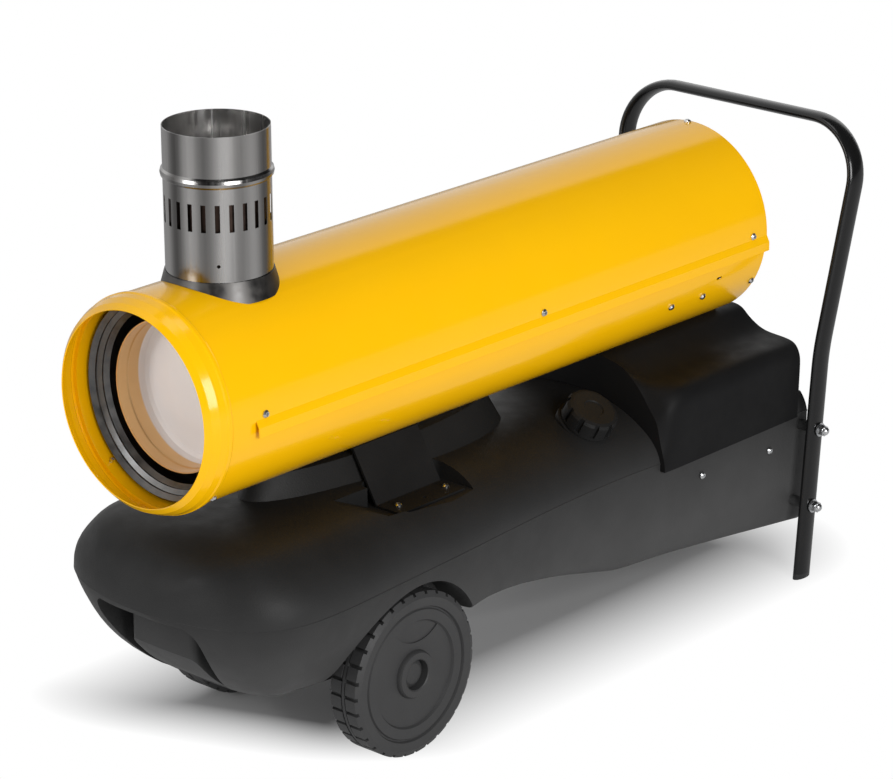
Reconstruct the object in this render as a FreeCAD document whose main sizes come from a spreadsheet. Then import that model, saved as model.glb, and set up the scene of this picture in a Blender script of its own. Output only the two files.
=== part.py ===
import FreeCAD
import Part
import Sketcher
import math
import os

os.makedirs("parts", exist_ok=True)
doc = FreeCAD.newDocument("heater")
sheet = doc.addObject("Spreadsheet::Sheet", "sizes")
Vector = FreeCAD.Vector

# Sizes of the heater in millimetres and degrees
# x runs across, minus y is the warm air outlet, z is up from the floor
SIZES = [
    ("sheet_t", 1.2, "casing sheet thickness"),
    ("axis_z", 463, "height of the casing axis"),
    ("shell_r", 125, "casing radius"),
    ("seam_y", -543.5, "joint of casing and outlet ring"),
    ("casing_rear_y", 398, "rear end of the casing"),
    ("joint_z", 461, "height of the joint of upper and lower shell"),
    ("lap_z", 476, "upper edge of the lower shell inside the upper one"),
    ("lap_gap", 0.1, "gap between the shells where they overlap"),
    ("lip_front_y", -508, "front end of the overlapping lip"),
    ("lip_out", 4.2, "how far the lip stands out"),
    ("lip_slope_h", 8, "height of the sloping part of the lip"),
    ("lip_drop_h", 11, "height of the upright part of the lip"),
    ("rim_y", -575, "front edge of the outlet ring"),
    ("rim_r", 113, "radius of the outlet rim"),
    ("bead_r", 126.8, "radius of the bead beside the ring joint"),
    ("spigot_l", 18, "length of the ring's spigot inside the casing"),
    ("cone_front_y", -531, "front edge of the inner cone"),
    ("cone_front_r", 117, "outer radius of the inner cone"),
    ("cone_back_y", -514, "rear edge of the inner cone"),
    ("cone_back_r", 100.5, "inner radius of the inner cone"),
    ("liner_r", 115.5, "radius of the inner liner"),
    ("liner_front_y", -505, "front end of the liner"),
    ("liner_rear_y", 110, "rear end of the liner"),
    ("drum_r", 88, "radius of the heat exchanger drum"),
    ("drum_front_y", -516, "front rim of the drum"),
    ("drum_end_y", -473, "set back front end disc of the drum"),
    ("drum_rear_y", 70, "rear end of the drum"),
    ("drum_t", 1.5, "drum wall thickness"),
    ("flue_y", -436, "flue axis"),
    ("flue_r", 60, "flue pipe radius"),
    ("flue_t", 0.8, "flue pipe wall"),
    ("flue_base_z", 592, "lower end of the flue pipe"),
    ("flue_top_z", 758, "upper end of the flue pipe"),
    ("flue_bead_z", 705.6, "middle of the rolled bead"),
    ("flue_bead_h", 12, "height of the rolled bead"),
    ("flue_bead_out", 3, "how far the bead stands out"),
    ("slot_low_z", 651, "lower end of the flue slots"),
    ("slot_h", 31, "length of the flue slots"),
    ("slot_w", 5.5, "width of the flue slots"),
    ("slot_count", 24, "number of flue slots"),
    ("flue_hole_r", 64, "opening of the casing for the flue"),
    ("stub_r", 58.8, "radius of the drum's flue stub"),
    ("collar_low_r", 68, "radius of the flue collar at the casing"),
    ("collar_h", 24, "height of the flue collar"),
    ("parting_z", 230, "parting line of the tank at the nose"),
    ("parting_drop", 13, "fall of the parting line to the rear"),
    ("tank_rear_y", 464, "rear end of the tank"),
    ("tank_rise", 74, "height of the tank above its parting line"),
    ("tank_wall", 5, "wall of the tank"),
    ("hump_top_z", 336, "top of the tank's saddle under the casing"),
    ("wheel_r", 100, "wheel radius"),
    ("wheel_w", 48, "wheel width"),
    ("wheel_out_x", 160, "outer face of the wheels"),
    ("wheel_y", -292, "axle position"),
    ("arch_r", 113, "radius of the wheel arches"),
    ("arch_in_x", 104, "inner wall of the wheel arches"),
    ("axle_r", 8, "axle radius"),
    ("axle_fit", 0.05, "running clearance of the wheels"),
    ("axle_end_x", 150, "end of the axle"),
    ("tube_r", 12.5, "handle tube radius"),
    ("tube_t", 1.5, "handle tube wall"),
    ("leg_x", 165, "handle legs from the middle"),
    ("foot_y", 432, "legs at the floor"),
    ("bend_y", 462, "legs at the bend"),
    ("bend_z", 303, "height of the bend in the legs"),
    ("bar_y", 570.2, "top bar of the handle"),
    ("bar_z", 570.3, "height of the top bar"),
    ("bend_radius", 120, "bend of the legs"),
    ("corner_radius", 72, "bend of the top corners"),
    ("bolt_r", 4, "handle bolt radius"),
    ("bolt_high_z", 200, "upper handle bolts"),
    ("bolt_low_z", 98, "lower handle bolts"),
    ("cap_r", 33.5, "fuel cap radius"),
    ("cap_h", 25, "fuel cap height"),
    ("cap_tilt", 31, "tilt of the fuel cap"),
    ("cap_x", 83, "filler position across"),
    ("cap_y", 96, "filler position along"),
    ("cap_z", 284, "filler position up"),
    ("cap_notches", 10, "grip notches of the cap"),
    ("neck_r", 24, "filler neck radius"),
    ("neck_bore_r", 20, "filler neck bore radius"),
    ("neck_h", 15, "filler neck height above the boss"),
    ("cover_front_y", 166, "front face of the rear cover"),
    ("cover_rear_y", 435, "rear face of the rear cover"),
    ("cover_t", 3, "rear cover wall"),
    ("cover_base_z", 216, "lower edge of the rear cover"),
    ("deck_y", 172, "front of the deck under the rear cover"),
    ("deck_z", 240, "height of the deck under the rear cover"),
    ("bracket_y", -274, "front edge of the front support"),
    ("bracket_w", 109, "width of the front support"),
    ("bracket_t", 3, "thickness of the front support"),
    ("bracket_top_x", 45, "front support at the casing across"),
    ("bracket_fold_x", 81, "fold of the front support across"),
    ("bracket_fold_z", 284, "fold of the front support up"),
    ("flange_w", 38, "width of the front support's foot"),
    ("fan_y", 352, "middle of the fan"),
    ("fan_r", 110, "fan radius"),
    ("fan_hub_r", 30, "fan hub radius"),
    ("fan_w", 42, "fan hub length"),
    ("fan_blades", 5, "number of fan blades"),
    ("shaft_r", 6, "motor shaft radius"),
    ("shaft_fit", 0.05, "running clearance of the shaft"),
    ("motor_r", 52, "motor radius"),
    ("motor_front_y", 205, "front end of the motor"),
    ("motor_rear_y", 315, "rear end of the motor"),
    ("burner_r", 42, "burner tube radius"),
    ("burner_front_y", 40, "front end of the burner tube"),
    ("burner_rear_y", 140, "rear end of the burner tube"),
    ("screw_head_r", 4.6, "pan head screw head radius"),
    ("screw_head_h", 3.4, "pan head screw head height"),
    ("screw_r", 2, "pan head screw shank radius"),
    ("screw_l", 8, "pan head screw shank length"),
    ("hole_gap", 0.2, "clearance of drilled holes"),
]
for row, (name, value, note) in enumerate(SIZES, 1):
    sheet.set(f"A{row}", note)
    sheet.set(f"B{row}", str(value))
    sheet.setAlias(f"B{row}", name)
doc.recompute()


class Size:
    """A number together with the sheet expression that gives it."""

    def __init__(self, value, text):
        self.value = value
        self.text = text

    def __add__(self, other):
        other = lift(other)
        return Size(self.value + other.value, f"({self.text} + {other.text})")

    def __sub__(self, other):
        other = lift(other)
        return Size(self.value - other.value, f"({self.text} - {other.text})")

    def __mul__(self, other):
        other = lift(other)
        return Size(self.value * other.value, f"({self.text} * {other.text})")

    def __truediv__(self, other):
        other = lift(other)
        return Size(self.value / other.value, f"({self.text} / {other.text})")

    def __neg__(self):
        return Size(-self.value, f"(0 - {self.text})")


def lift(number):
    if isinstance(number, Size):
        return number
    if number < 0:
        return Size(float(number), f"(0 - {-number})")
    return Size(float(number), str(number))


class Names:
    """Gives each sheet cell by its alias."""

    def __getattr__(self, name):
        return Size(float(sheet.get(name)), "sizes." + name)


d = Names()
nodes = []


def mm(name):
    return float(sheet.get(name))


def bind(thing, **sizes):
    for prop, size in sizes.items():
        size = lift(size)
        setattr(thing, prop, size.value)
        thing.setExpression(prop, size.text)
    return thing


TURN = {"z": ((0, 0, 1), 0), "y": ((1, 0, 0), -90), "x": ((0, 1, 0), 90)}


def place(thing, x=0, y=0, z=0, turn=((0, 0, 1), 0)):
    axis, angle = turn
    rotation = FreeCAD.Rotation(Vector(*axis), lift(angle).value)
    spot = Vector(lift(x).value, lift(y).value, lift(z).value)
    thing.Placement = FreeCAD.Placement(spot, rotation)
    for letter, size in (("x", x), ("y", y), ("z", z)):
        thing.setExpression("Placement.Base." + letter, lift(size).text)
    return thing


def node(thing, label):
    thing.Label = label
    nodes.append(thing)
    return thing


def cylinder(name, radius, height, x=0, y=0, z=0, along="z"):
    thing = doc.addObject("Part::Cylinder", name)
    bind(thing, Radius=radius, Height=height)
    return place(thing, x, y, z, TURN[along])


def box(name, length, width, height, x=0, y=0, z=0):
    thing = doc.addObject("Part::Box", name)
    bind(thing, Length=length, Width=width, Height=height)
    return place(thing, x, y, z)


def cut(name, base, tool):
    thing = doc.addObject("Part::Cut", name)
    thing.Base = base
    thing.Tool = tool
    return thing


def common(name, base, tool):
    thing = doc.addObject("Part::Common", name)
    thing.Base = base
    thing.Tool = tool
    return thing


def fuse(name, *things):
    thing = doc.addObject("Part::MultiFuse", name)
    thing.Shapes = list(things)
    return thing


def feature(name, shape):
    thing = doc.addObject("Part::Feature", name)
    thing.Shape = shape
    return thing


def mirrored(source, label):
    thing = doc.addObject("Part::Mirroring", label)
    thing.Source = source
    thing.Normal = Vector(1, 0, 0)
    thing.Base = Vector(0, 0, 0)
    return node(thing, label)


def body(name):
    return doc.addObject("PartDesign::Body", name)


def origin_part(owner, role):
    return next(part for part in owner.Origin.OriginFeatures if part.Role == role)


def sketch(owner, role, points, offset=0):
    """Closed outline on an origin plane with every corner held by the sheet."""
    thing = owner.newObject("Sketcher::SketchObject", owner.Name + "_outline")
    thing.AttachmentSupport = [(origin_part(owner, role), "")]
    thing.MapMode = "FlatFace"
    offset = lift(offset)
    thing.AttachmentOffset = FreeCAD.Placement(Vector(0, 0, offset.value), FreeCAD.Rotation())
    thing.setExpression("AttachmentOffset.Base.z", offset.text)
    corners = [(lift(x), lift(y)) for x, y in points]
    count = len(corners)
    for index in range(count):
        x0, y0 = corners[index]
        x1, y1 = corners[(index + 1) % count]
        line = Part.LineSegment(Vector(x0.value, y0.value, 0), Vector(x1.value, y1.value, 0))
        thing.addGeometry(line, False)
    for index in range(count):
        thing.addConstraint(Sketcher.Constraint("Coincident", index, 2, (index + 1) % count, 1))
    for index, (x, y) in enumerate(corners):
        for kind, size in (("DistanceX", x), ("DistanceY", y)):
            number = thing.addConstraint(Sketcher.Constraint(kind, -1, 1, index, 1, size.value))
            thing.setExpression(f"Constraints[{number}]", size.text)
    return thing


def revolve(owner, outline, axis="V_Axis", kind="PartDesign::Revolution"):
    thing = owner.newObject(kind, owner.Name + "_turned")
    thing.Profile = outline
    thing.ReferenceAxis = (outline, [axis])
    thing.Angle = 360
    return thing


def pad(owner, outline, length, middle=False, reverse=False, kind="PartDesign::Pad"):
    thing = owner.newObject(kind, owner.Name + "_raised")
    thing.Profile = outline
    bind(thing, Length=length)
    thing.Midplane = middle
    thing.Reversed = reverse
    return thing


def pocket(owner, outline, length, middle=False, reverse=False):
    return pad(owner, outline, length, middle, reverse, "PartDesign::Pocket")


def polar(owner, first, axis, count):
    thing = owner.newObject("PartDesign::PolarPattern", owner.Name + "_round")
    thing.Originals = [first]
    thing.Axis = (origin_part(owner, axis), [""])
    thing.Angle = 360
    count = lift(count)
    thing.Occurrences = int(count.value)
    thing.setExpression("Occurrences", count.text)
    owner.Tip = thing
    return thing


def turned(label, points, axis="V_Axis", role="XY_Plane", x=0, y=0, z=0):
    owner = body(label)
    revolve(owner, sketch(owner, role, points), axis)
    place(owner, x, y, z)
    return owner


# Small repeated hardware
def aimed(shape, spot, direction):
    copy = shape.copy()
    rotation = FreeCAD.Rotation(Vector(0, 0, 1), direction)
    copy.Placement = FreeCAD.Placement(spot, rotation)
    return copy


def turned_shape(points):
    """Solid of revolution round z from points of radius and height."""
    wire = Part.makePolygon([Vector(r, 0, z) for r, z in points] + [Vector(points[0][0], 0, points[0][1])])
    return Part.Face(wire).revolve(Vector(0, 0, 0), Vector(0, 0, 1), 360)


def pan_screw():
    head_r = mm("screw_head_r")
    head_h = mm("screw_head_h")
    shank_r = mm("screw_r")
    profile = [(0, -mm("screw_l")), (shank_r, -mm("screw_l")), (shank_r, 0), (head_r, 0)]
    profile += [(head_r, head_h * 0.45), (head_r * 0.62, head_h), (0, head_h)]
    shape = turned_shape(profile)
    arm = head_r * 1.0
    width = head_r * 0.22
    deep = head_h * 0.5
    for length, breadth in ((arm, width), (width, arm)):
        slot = Part.makeBox(length, breadth, deep, Vector(-length / 2, -breadth / 2, head_h - deep))
        shape = shape.cut(slot)
    return shape


def group(label, shape, spots):
    copies = [aimed(shape, spot, direction) for spot, direction in spots]
    return node(feature(label, Part.makeCompound(copies)), label)


def hole_group(name, radius, length, spots):
    drill = Part.makeCylinder(radius, length, Vector(0, 0, -length / 2))
    return feature(name, Part.makeCompound([aimed(drill, spot, direction) for spot, direction in spots]))


def on_casing(y, angle, radius):
    turn = math.radians(angle)
    direction = Vector(math.cos(turn), 0, math.sin(turn))
    spot = Vector(radius * math.cos(turn), y, mm("axis_z") + radius * math.sin(turn))
    return spot, direction


def both_sides(spots):
    flipped = [(Vector(-s.x, s.y, s.z), Vector(-n.x, n.y, n.z)) for s, n in spots]
    return spots + flipped


# Casing screws: joint row, lower shell row, rear top and outlet ring
lower_r = d.shell_r - d.sheet_t - d.lap_gap
spigot_r = lower_r - d.sheet_t - d.lap_gap
joint_screws = both_sides([on_casing(y, 1.95, mm("shell_r")) for y in (-494, -32, 369)])
side_screws = both_sides([on_casing(y, a, lower_r.value) for y, a in ((225, -26.6), (288, -27.6), (389, -29.7))])
top_screws = [on_casing(391, 90, mm("shell_r"))]
ring_screws = both_sides([on_casing(-535.5, -48.5, lower_r.value)])
hole_r = mm("screw_r") + mm("hole_gap")
hole_l = 14
group("casing_screws", pan_screw(), joint_screws + side_screws + top_screws + ring_screws)


# Upper and lower casing shells
casing_l = d.casing_rear_y - d.seam_y
half_w = d.shell_r + 20


def casing_tube(name, radius):
    outer = cylinder(name + "_outer", radius, casing_l, y=d.seam_y, z=d.axis_z, along="y")
    inner = cylinder(name + "_inner", radius - d.sheet_t, casing_l, y=d.seam_y, z=d.axis_z, along="y")
    return cut(name + "_tube", outer, inner)


def lip(name, side):
    """Overlapping edge strip of the upper shell, side is 1 or -1."""
    owner = body(name)
    inner = d.shell_r - 1.1
    outer = d.shell_r + d.lip_out
    slope_low = d.joint_z + 1.5 - d.lip_slope_h
    edge = slope_low - d.lip_drop_h
    points = [
        (d.shell_r * side, d.joint_z + 1.5),
        (outer * side, slope_low),
        (outer * side, edge),
        ((outer - d.sheet_t) * side, edge),
        ((outer - d.sheet_t) * side, slope_low - 0.4),
        (inner * side, d.joint_z + 0.6),
    ]
    outline = sketch(owner, "XZ_Plane", points, -d.lip_front_y)
    pad(owner, outline, d.casing_rear_y - d.lip_front_y, reverse=True)
    return owner


upper_room = box("upper_room", half_w * 2, casing_l, half_w, x=-half_w, y=d.seam_y, z=d.joint_z)
upper_half = common("upper_half", casing_tube("upper", d.shell_r), upper_room)
upper_lipped = fuse("upper_lipped", upper_half, lip("lip_right", 1), lip("lip_left", -1))
flue_opening = cylinder("flue_opening", d.flue_hole_r, half_w, y=d.flue_y, z=d.axis_z)
upper_open = cut("upper_open", upper_lipped, flue_opening)
upper_holes = hole_group("upper_holes", hole_r, hole_l, joint_screws + top_screws)
node(cut("upper_cut", upper_open, upper_holes), "upper_shell")

lower_room = box("lower_room", half_w * 2, casing_l, half_w, x=-half_w, y=d.seam_y, z=d.lap_z - half_w)
lower_half = common("lower_half", casing_tube("lower", lower_r), lower_room)
hose_hole_x = -60
hose_hole_y = 240
slot_spots = both_sides([on_casing(312 + step, -18, lower_r.value) for step in (-3, 0, 3)])
lower_spots = joint_screws + side_screws + ring_screws
lower_holes = hole_group("lower_holes", hole_r, hole_l, lower_spots + slot_spots)
hose_hole = cylinder("hose_hole", 7, 60, x=hose_hole_x, y=hose_hole_y, z=320)
lower_drilled = cut("lower_drilled", lower_half, lower_holes)
node(cut("lower_cut", lower_drilled, hose_hole), "lower_shell")

# Outlet ring with rolled bead and tapered front
ring_body = turned("ring_body", [
    (spigot_r, d.seam_y + d.spigot_l),
    (spigot_r, d.seam_y - 0.3),
    (d.bead_r - 0.8, d.seam_y - 0.3),
    (d.bead_r, d.seam_y - 2),
    (d.bead_r, d.seam_y - 6),
    (d.bead_r - 1.4, d.seam_y - 8),
    (d.rim_r + 10.6, d.rim_y + 15),
    (d.rim_r + 6.2, d.rim_y + 6),
    (d.rim_r, d.rim_y),
    (d.rim_r - 0.9, d.rim_y + 0.8),
    (d.rim_r + 5.2, d.rim_y + 6.8),
    (d.rim_r + 9.4, d.rim_y + 15.4),
    (d.bead_r - 2.6, d.seam_y - 7.6),
    (d.bead_r - 1.3, d.seam_y - 5.6),
    (d.bead_r - 1.3, d.seam_y - 2.4),
    (spigot_r - d.sheet_t, d.seam_y - 1.6),
    (spigot_r - d.sheet_t, d.seam_y + d.spigot_l),
], z=d.axis_z)
ring_holes = hole_group("ring_holes", hole_r, hole_l, ring_screws)
node(cut("ring_cut", ring_body, ring_holes), "outlet_ring")

# Stepped inner cone and liner round the exchanger
cone_r = d.cone_front_r
cone_y = d.cone_front_y
node(turned("cone_body", [
    (cone_r, d.liner_front_y + 8),
    (cone_r, cone_y),
    (cone_r - 1.5, cone_y - 1),
    (cone_r - 6.5, cone_y + 4),
    (cone_r - 6.5, cone_y + 6.5),
    (cone_r - 12, cone_y + 9.5),
    (cone_r - 12, cone_y + 11.5),
    (d.cone_back_r, d.cone_back_y),
    (d.cone_back_r + 0.6, d.cone_back_y + 1),
    (cone_r - 10.9, cone_y + 12.5),
    (cone_r - 10.9, cone_y + 10.4),
    (cone_r - 5.4, cone_y + 7.4),
    (cone_r - 5.4, cone_y + 4.6),
    (cone_r - 1.1, cone_y + 1),
    (cone_r - 1.1, d.liner_front_y + 8),
], z=d.axis_z), "outlet_cone")

liner_l = d.liner_rear_y - d.liner_front_y
liner_out = cylinder("liner_out", d.liner_r, liner_l, y=d.liner_front_y, z=d.axis_z, along="y")
liner_in = cylinder("liner_in", d.liner_r - 1, liner_l, y=d.liner_front_y, z=d.axis_z, along="y")
liner_tube = cut("liner_tube", liner_out, liner_in)
liner_opening = cylinder("liner_opening", d.flue_hole_r, half_w, y=d.flue_y, z=d.axis_z)
node(cut("liner_cut", liner_tube, liner_opening), "inner_liner")


def radial_plates(label, inner, outer, rows, angles, thick, length):
    plates = []
    for y in rows:
        for angle in angles:
            plate = Part.makeBox(outer - inner, length, thick, Vector(inner, -length / 2, -thick / 2))
            plate.Placement = FreeCAD.Placement(
                Vector(0, y, mm("axis_z")), FreeCAD.Rotation(Vector(0, 1, 0), -angle))
            plates.append(plate)
    return node(feature(label, Part.makeCompound(plates)), label)


liner_inner = mm("liner_r") - 1
radial_plates("drum_supports", mm("drum_r") + 0.2, liner_inner - 0.3, (-330, 20), (30, 150, 270), 2, 30)
radial_plates("liner_spacers", mm("liner_r") + 0.2, spigot_r.value - 0.3, (-300, 60), (-20, 200, 270), 2, 30)

# Heat exchanger drum with set back front disc and flue stub
drum_in = d.drum_r - d.drum_t
drum_body = turned("drum_body", [
    (d.drum_r, d.drum_front_y),
    (d.drum_r, d.drum_rear_y),
    (drum_in, d.drum_rear_y),
    (drum_in, d.drum_end_y + d.drum_t),
    (0, d.drum_end_y + d.drum_t - 6),
    (0, d.drum_end_y - 6),
    (drum_in * 0.5, d.drum_end_y - 4.5),
    (drum_in - 7, d.drum_end_y - 0.5),
    (drum_in - 2, d.drum_end_y - 3),
    (drum_in, d.drum_end_y - 8),
    (drum_in, d.drum_front_y + 17),
    (drum_in - 1.2, d.drum_front_y + 15.5),
    (drum_in, d.drum_front_y + 14),
    (drum_in, d.drum_front_y),
], z=d.axis_z)
stub_top = d.flue_base_z + 14
stub_low = d.axis_z + 50
stub_pipe = cylinder("stub_pipe", d.stub_r, stub_top - stub_low, y=d.flue_y, z=stub_low)
drum_l = d.drum_rear_y - d.drum_front_y
drum_core = cylinder("drum_core", drum_in, drum_l, y=d.drum_front_y, z=d.axis_z, along="y")
stub_trim = cut("stub_trim", stub_pipe, drum_core)
drum_stubbed = fuse("drum_stubbed", drum_body, stub_trim)
bore_pipe = cylinder("bore_pipe", d.stub_r - d.drum_t, stub_top - stub_low, y=d.flue_y, z=stub_low)
cup_l = d.drum_end_y - d.drum_front_y + d.drum_t + 1
cup_keep = cylinder("cup_keep", d.drum_r, cup_l, y=d.drum_front_y, z=d.axis_z, along="y")
stub_bore = cut("stub_bore", bore_pipe, cup_keep)
node(cut("drum_cut", drum_stubbed, stub_bore), "exchanger_drum")

node(turned("plate_body", [
    (drum_in - 0.3, d.drum_rear_y - 5),
    (drum_in - 0.3, d.drum_rear_y - 2),
    (d.burner_r + 0.3, d.drum_rear_y - 2),
    (d.burner_r + 0.3, d.drum_rear_y - 5),
], z=d.axis_z), "drum_rear_plate")

node(turned("chamber_body", [
    (64, -360),
    (64, d.drum_rear_y - 6),
    (62, d.drum_rear_y - 6),
    (62, -358),
    (0, -358),
    (0, -360),
], z=d.axis_z), "combustion_chamber")
radial_plates("chamber_supports", 64.3, drum_in.value - 0.3, (-330, 20), (90, 210, 330), 2, 24)

# Flue pipe with rolled bead, slots and saddle collar
flue_in = d.flue_r - d.flue_t
flue = body("flue")
bead_low = d.flue_bead_z - d.flue_bead_h / 2
bead_high = d.flue_bead_z + d.flue_bead_h / 2
bead_out = d.flue_r + d.flue_bead_out
revolve(flue, sketch(flue, "XZ_Plane", [
    (d.flue_r, d.flue_base_z),
    (d.flue_r, bead_low),
    (bead_out - 0.8, bead_low + 2.5),
    (bead_out, d.flue_bead_z),
    (bead_out - 0.8, bead_high - 2.5),
    (d.flue_r, bead_high),
    (d.flue_r, d.flue_top_z),
    (flue_in, d.flue_top_z),
    (flue_in, bead_high - 0.3),
    (bead_out - 1.7, bead_high - 2.9),
    (bead_out - 0.8, d.flue_bead_z),
    (bead_out - 1.7, bead_low + 2.9),
    (flue_in, bead_low + 0.3),
    (flue_in, d.flue_base_z),
]))
slot_outline = sketch(flue, "YZ_Plane", [
    (-d.slot_w / 2, d.slot_low_z),
    (d.slot_w / 2, d.slot_low_z),
    (d.slot_w / 2, d.slot_low_z + d.slot_h),
    (-d.slot_w / 2, d.slot_low_z + d.slot_h),
], d.flue_r - 5)
polar(flue, pocket(flue, slot_outline, 10, reverse=True), "Z_Axis", d.slot_count)
place(flue, y=d.flue_y)
rivet_hole = hole_group("rivet_hole", 2, 10, [(Vector(42, -436 - 42, 613), Vector(1, -1, 0))])
node(cut("flue_cut", flue, rivet_hole), "flue_pipe")

collar_cone = doc.addObject("Part::Cone", "collar_cone")
bind(collar_cone, Radius1=d.collar_low_r, Radius2=d.flue_r + 1.2, Height=d.collar_h)
place(collar_cone, y=d.flue_y, z=d.flue_base_z + 2 - d.collar_h)
collar_bore = cylinder("collar_bore", d.flue_r + 0.3, 60, y=d.flue_y, z=d.flue_base_z - 40)
collar_ring = cut("collar_ring", collar_cone, collar_bore)
collar_seat = cylinder("collar_seat", d.shell_r + 0.1, 200, y=d.flue_y - 100, z=d.axis_z, along="y")
node(cut("collar_cut", collar_ring, collar_seat), "flue_collar")

# Rear air inlet grille


def ring_tube(name, outer, inner, y, length):
    out = cylinder(name + "_out", outer, length, y=y, z=d.axis_z, along="y")
    hollow = cylinder(name + "_in", inner, length, y=y, z=d.axis_z, along="y")
    return cut(name, out, hollow)


grille_y = d.casing_rear_y - 5
grille_rings = [ring_tube(f"grille_ring_{r}", lift(r), lift(r - 3), grille_y, 3) for r in (30, 50, 70, 90, 110)]
grille_rim = ring_tube("grille_rim", spigot_r, spigot_r - 3, grille_y - 9, 12)
grille_disc = cylinder("grille_disc", 14, 3, y=grille_y, z=d.axis_z, along="y")
grille_wide = box("grille_wide", (spigot_r - 1) * 2, 3, 4, x=-(spigot_r - 1), y=grille_y, z=d.axis_z - 2)
grille_tall = box("grille_tall", 4, 3, (spigot_r - 1) * 2, x=-2, y=grille_y, z=d.axis_z - (spigot_r - 1))
grille_whole = fuse("grille_whole", grille_rim, grille_disc, grille_wide, grille_tall, *grille_rings)
grille_holes = hole_group("grille_holes", hole_r, 2 * hole_l, side_screws + top_screws)
node(cut("grille", grille_whole, grille_holes), "rear_grille")

# Fan, shaft and motor on the casing axis
fan = body("fan")
hub_bore = d.shaft_r + d.shaft_fit
revolve(fan, sketch(fan, "XY_Plane", [
    (hub_bore, d.fan_w / -2),
    (d.fan_hub_r - 3, d.fan_w / -2),
    (d.fan_hub_r, d.fan_w / -2 + 3),
    (d.fan_hub_r, d.fan_w / 2 - 3),
    (d.fan_hub_r - 3, d.fan_w / 2),
    (hub_bore, d.fan_w / 2),
]))


def blade_section(half_chord, half_thick, pitch, reach):
    """Blade outline across the rotor axis at one radius."""
    turn = math.radians(pitch)
    corners = []
    for along, across in ((-1, -1), (1, -1), (1, 1), (-1, 1)):
        y = along * half_chord * math.sin(turn) + across * half_thick * math.cos(turn)
        z = along * half_chord * math.cos(turn) - across * half_thick * math.sin(turn)
        corners.append((y, z))
    return sketch(fan, "YZ_Plane", corners, reach)


blade_root = blade_section(20, 1.5, 48, d.fan_hub_r - 3)
blade_tip = blade_section(36, 1.2, 26, d.fan_r)
blade = fan.newObject("PartDesign::AdditiveLoft", "fan_blade")
blade.Profile = blade_root
blade.Sections = [blade_tip]
polar(fan, blade, "Y_Axis", d.fan_blades)
place(fan, y=d.fan_y, z=d.axis_z)
node(fan, "fan")

shaft_front_y = 168
shaft_l = d.fan_y + 34 - shaft_front_y
node(cylinder("shaft", d.shaft_r, shaft_l, y=shaft_front_y, z=d.axis_z, along="y"), "motor_shaft")

motor = body("motor")
revolve(motor, sketch(motor, "XY_Plane", [
    (hub_bore, d.motor_front_y - 4),
    (18, d.motor_front_y - 4),
    (18, d.motor_front_y),
    (d.motor_r - 8, d.motor_front_y),
    (d.motor_r, d.motor_front_y + 8),
    (d.motor_r, d.motor_rear_y - 8),
    (d.motor_r - 8, d.motor_rear_y),
    (18, d.motor_rear_y),
    (18, d.motor_rear_y + 6),
    (hub_bore, d.motor_rear_y + 6),
]))
rib_outline = sketch(motor, "YZ_Plane", [
    (d.motor_front_y + 10, -1.5),
    (d.motor_front_y + 38, -1.5),
    (d.motor_front_y + 38, 1.5),
    (d.motor_front_y + 10, 1.5),
], d.motor_r - 1)
polar(motor, pad(motor, rib_outline, 5), "Y_Axis", 12)
place(motor, z=d.axis_z)
node(motor, "motor")

clamp_y = d.motor_rear_y - 50
clamp_w = 28
clamp_band = ring_tube("clamp_band", d.motor_r + 3.4, d.motor_r + 0.4, clamp_y, clamp_w)


def clamp_arm(name, angle):
    arm = box(name, spigot_r - d.motor_r - 3.5, clamp_w - 8, 4)
    turn = math.radians(angle)
    reach = d.motor_r + 3
    place(arm, reach * math.cos(turn), clamp_y + 4, d.axis_z + reach * math.sin(turn), ((0, 1, 0), -angle))
    return arm


clamp_arms = [clamp_arm(f"clamp_arm_{angle}", angle) for angle in (90, 212, 328)]
node(fuse("clamp", clamp_band, *clamp_arms), "motor_bracket")

# Fuel pump, valve and burner
pump_box = box("pump_box", 54, 30, 54, x=-27, y=d.motor_front_y - 35, z=d.axis_z - 27)
pump_nose = cylinder("pump_nose", 18, 6, y=d.motor_front_y - 41, z=d.axis_z, along="y")
pump_bore = cylinder("pump_bore", hub_bore, 40, y=shaft_front_y - 1, z=d.axis_z, along="y")
node(cut("pump", fuse("pump_block", pump_box, pump_nose), pump_bore), "fuel_pump")

valve_z = d.axis_z + 27.2
valve_y = d.motor_front_y - 20
valve_base = cylinder("valve_base", 9, 6, y=valve_y, z=valve_z)
valve_coil = cylinder("valve_coil", 14, 26, y=valve_y, z=valve_z + 5)
valve_cap = cylinder("valve_cap", 5, 6, y=valve_y, z=valve_z + 30)
node(fuse("valve", valve_base, valve_coil, valve_cap), "solenoid_valve")

burner_in = d.burner_r - 1.5
node(turned("burner", [
    (d.burner_r - 10, d.burner_front_y),
    (d.burner_r, d.burner_front_y + 16),
    (d.burner_r, d.burner_rear_y),
    (burner_in, d.burner_rear_y),
    (burner_in, d.burner_front_y + 16.6),
    (d.burner_r - 11.5, d.burner_front_y + 0.6),
], z=d.axis_z), "burner_tube")

disc = body("disc")
disc_y = d.burner_front_y + 28
revolve(disc, sketch(disc, "XY_Plane", [
    (25, disc_y),
    (burner_in - 0.4, disc_y),
    (burner_in - 0.4, disc_y + 2),
    (25, disc_y + 2),
]))
vane_outline = sketch(disc, "XZ_Plane", [(29, -1.2), (37, -1.2), (37, 1.2), (29, 1.2)], -disc_y + 5)
polar(disc, pocket(disc, vane_outline, 12), "Y_Axis", 8)
place(disc, z=d.axis_z)
node(disc, "flame_disc")

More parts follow.
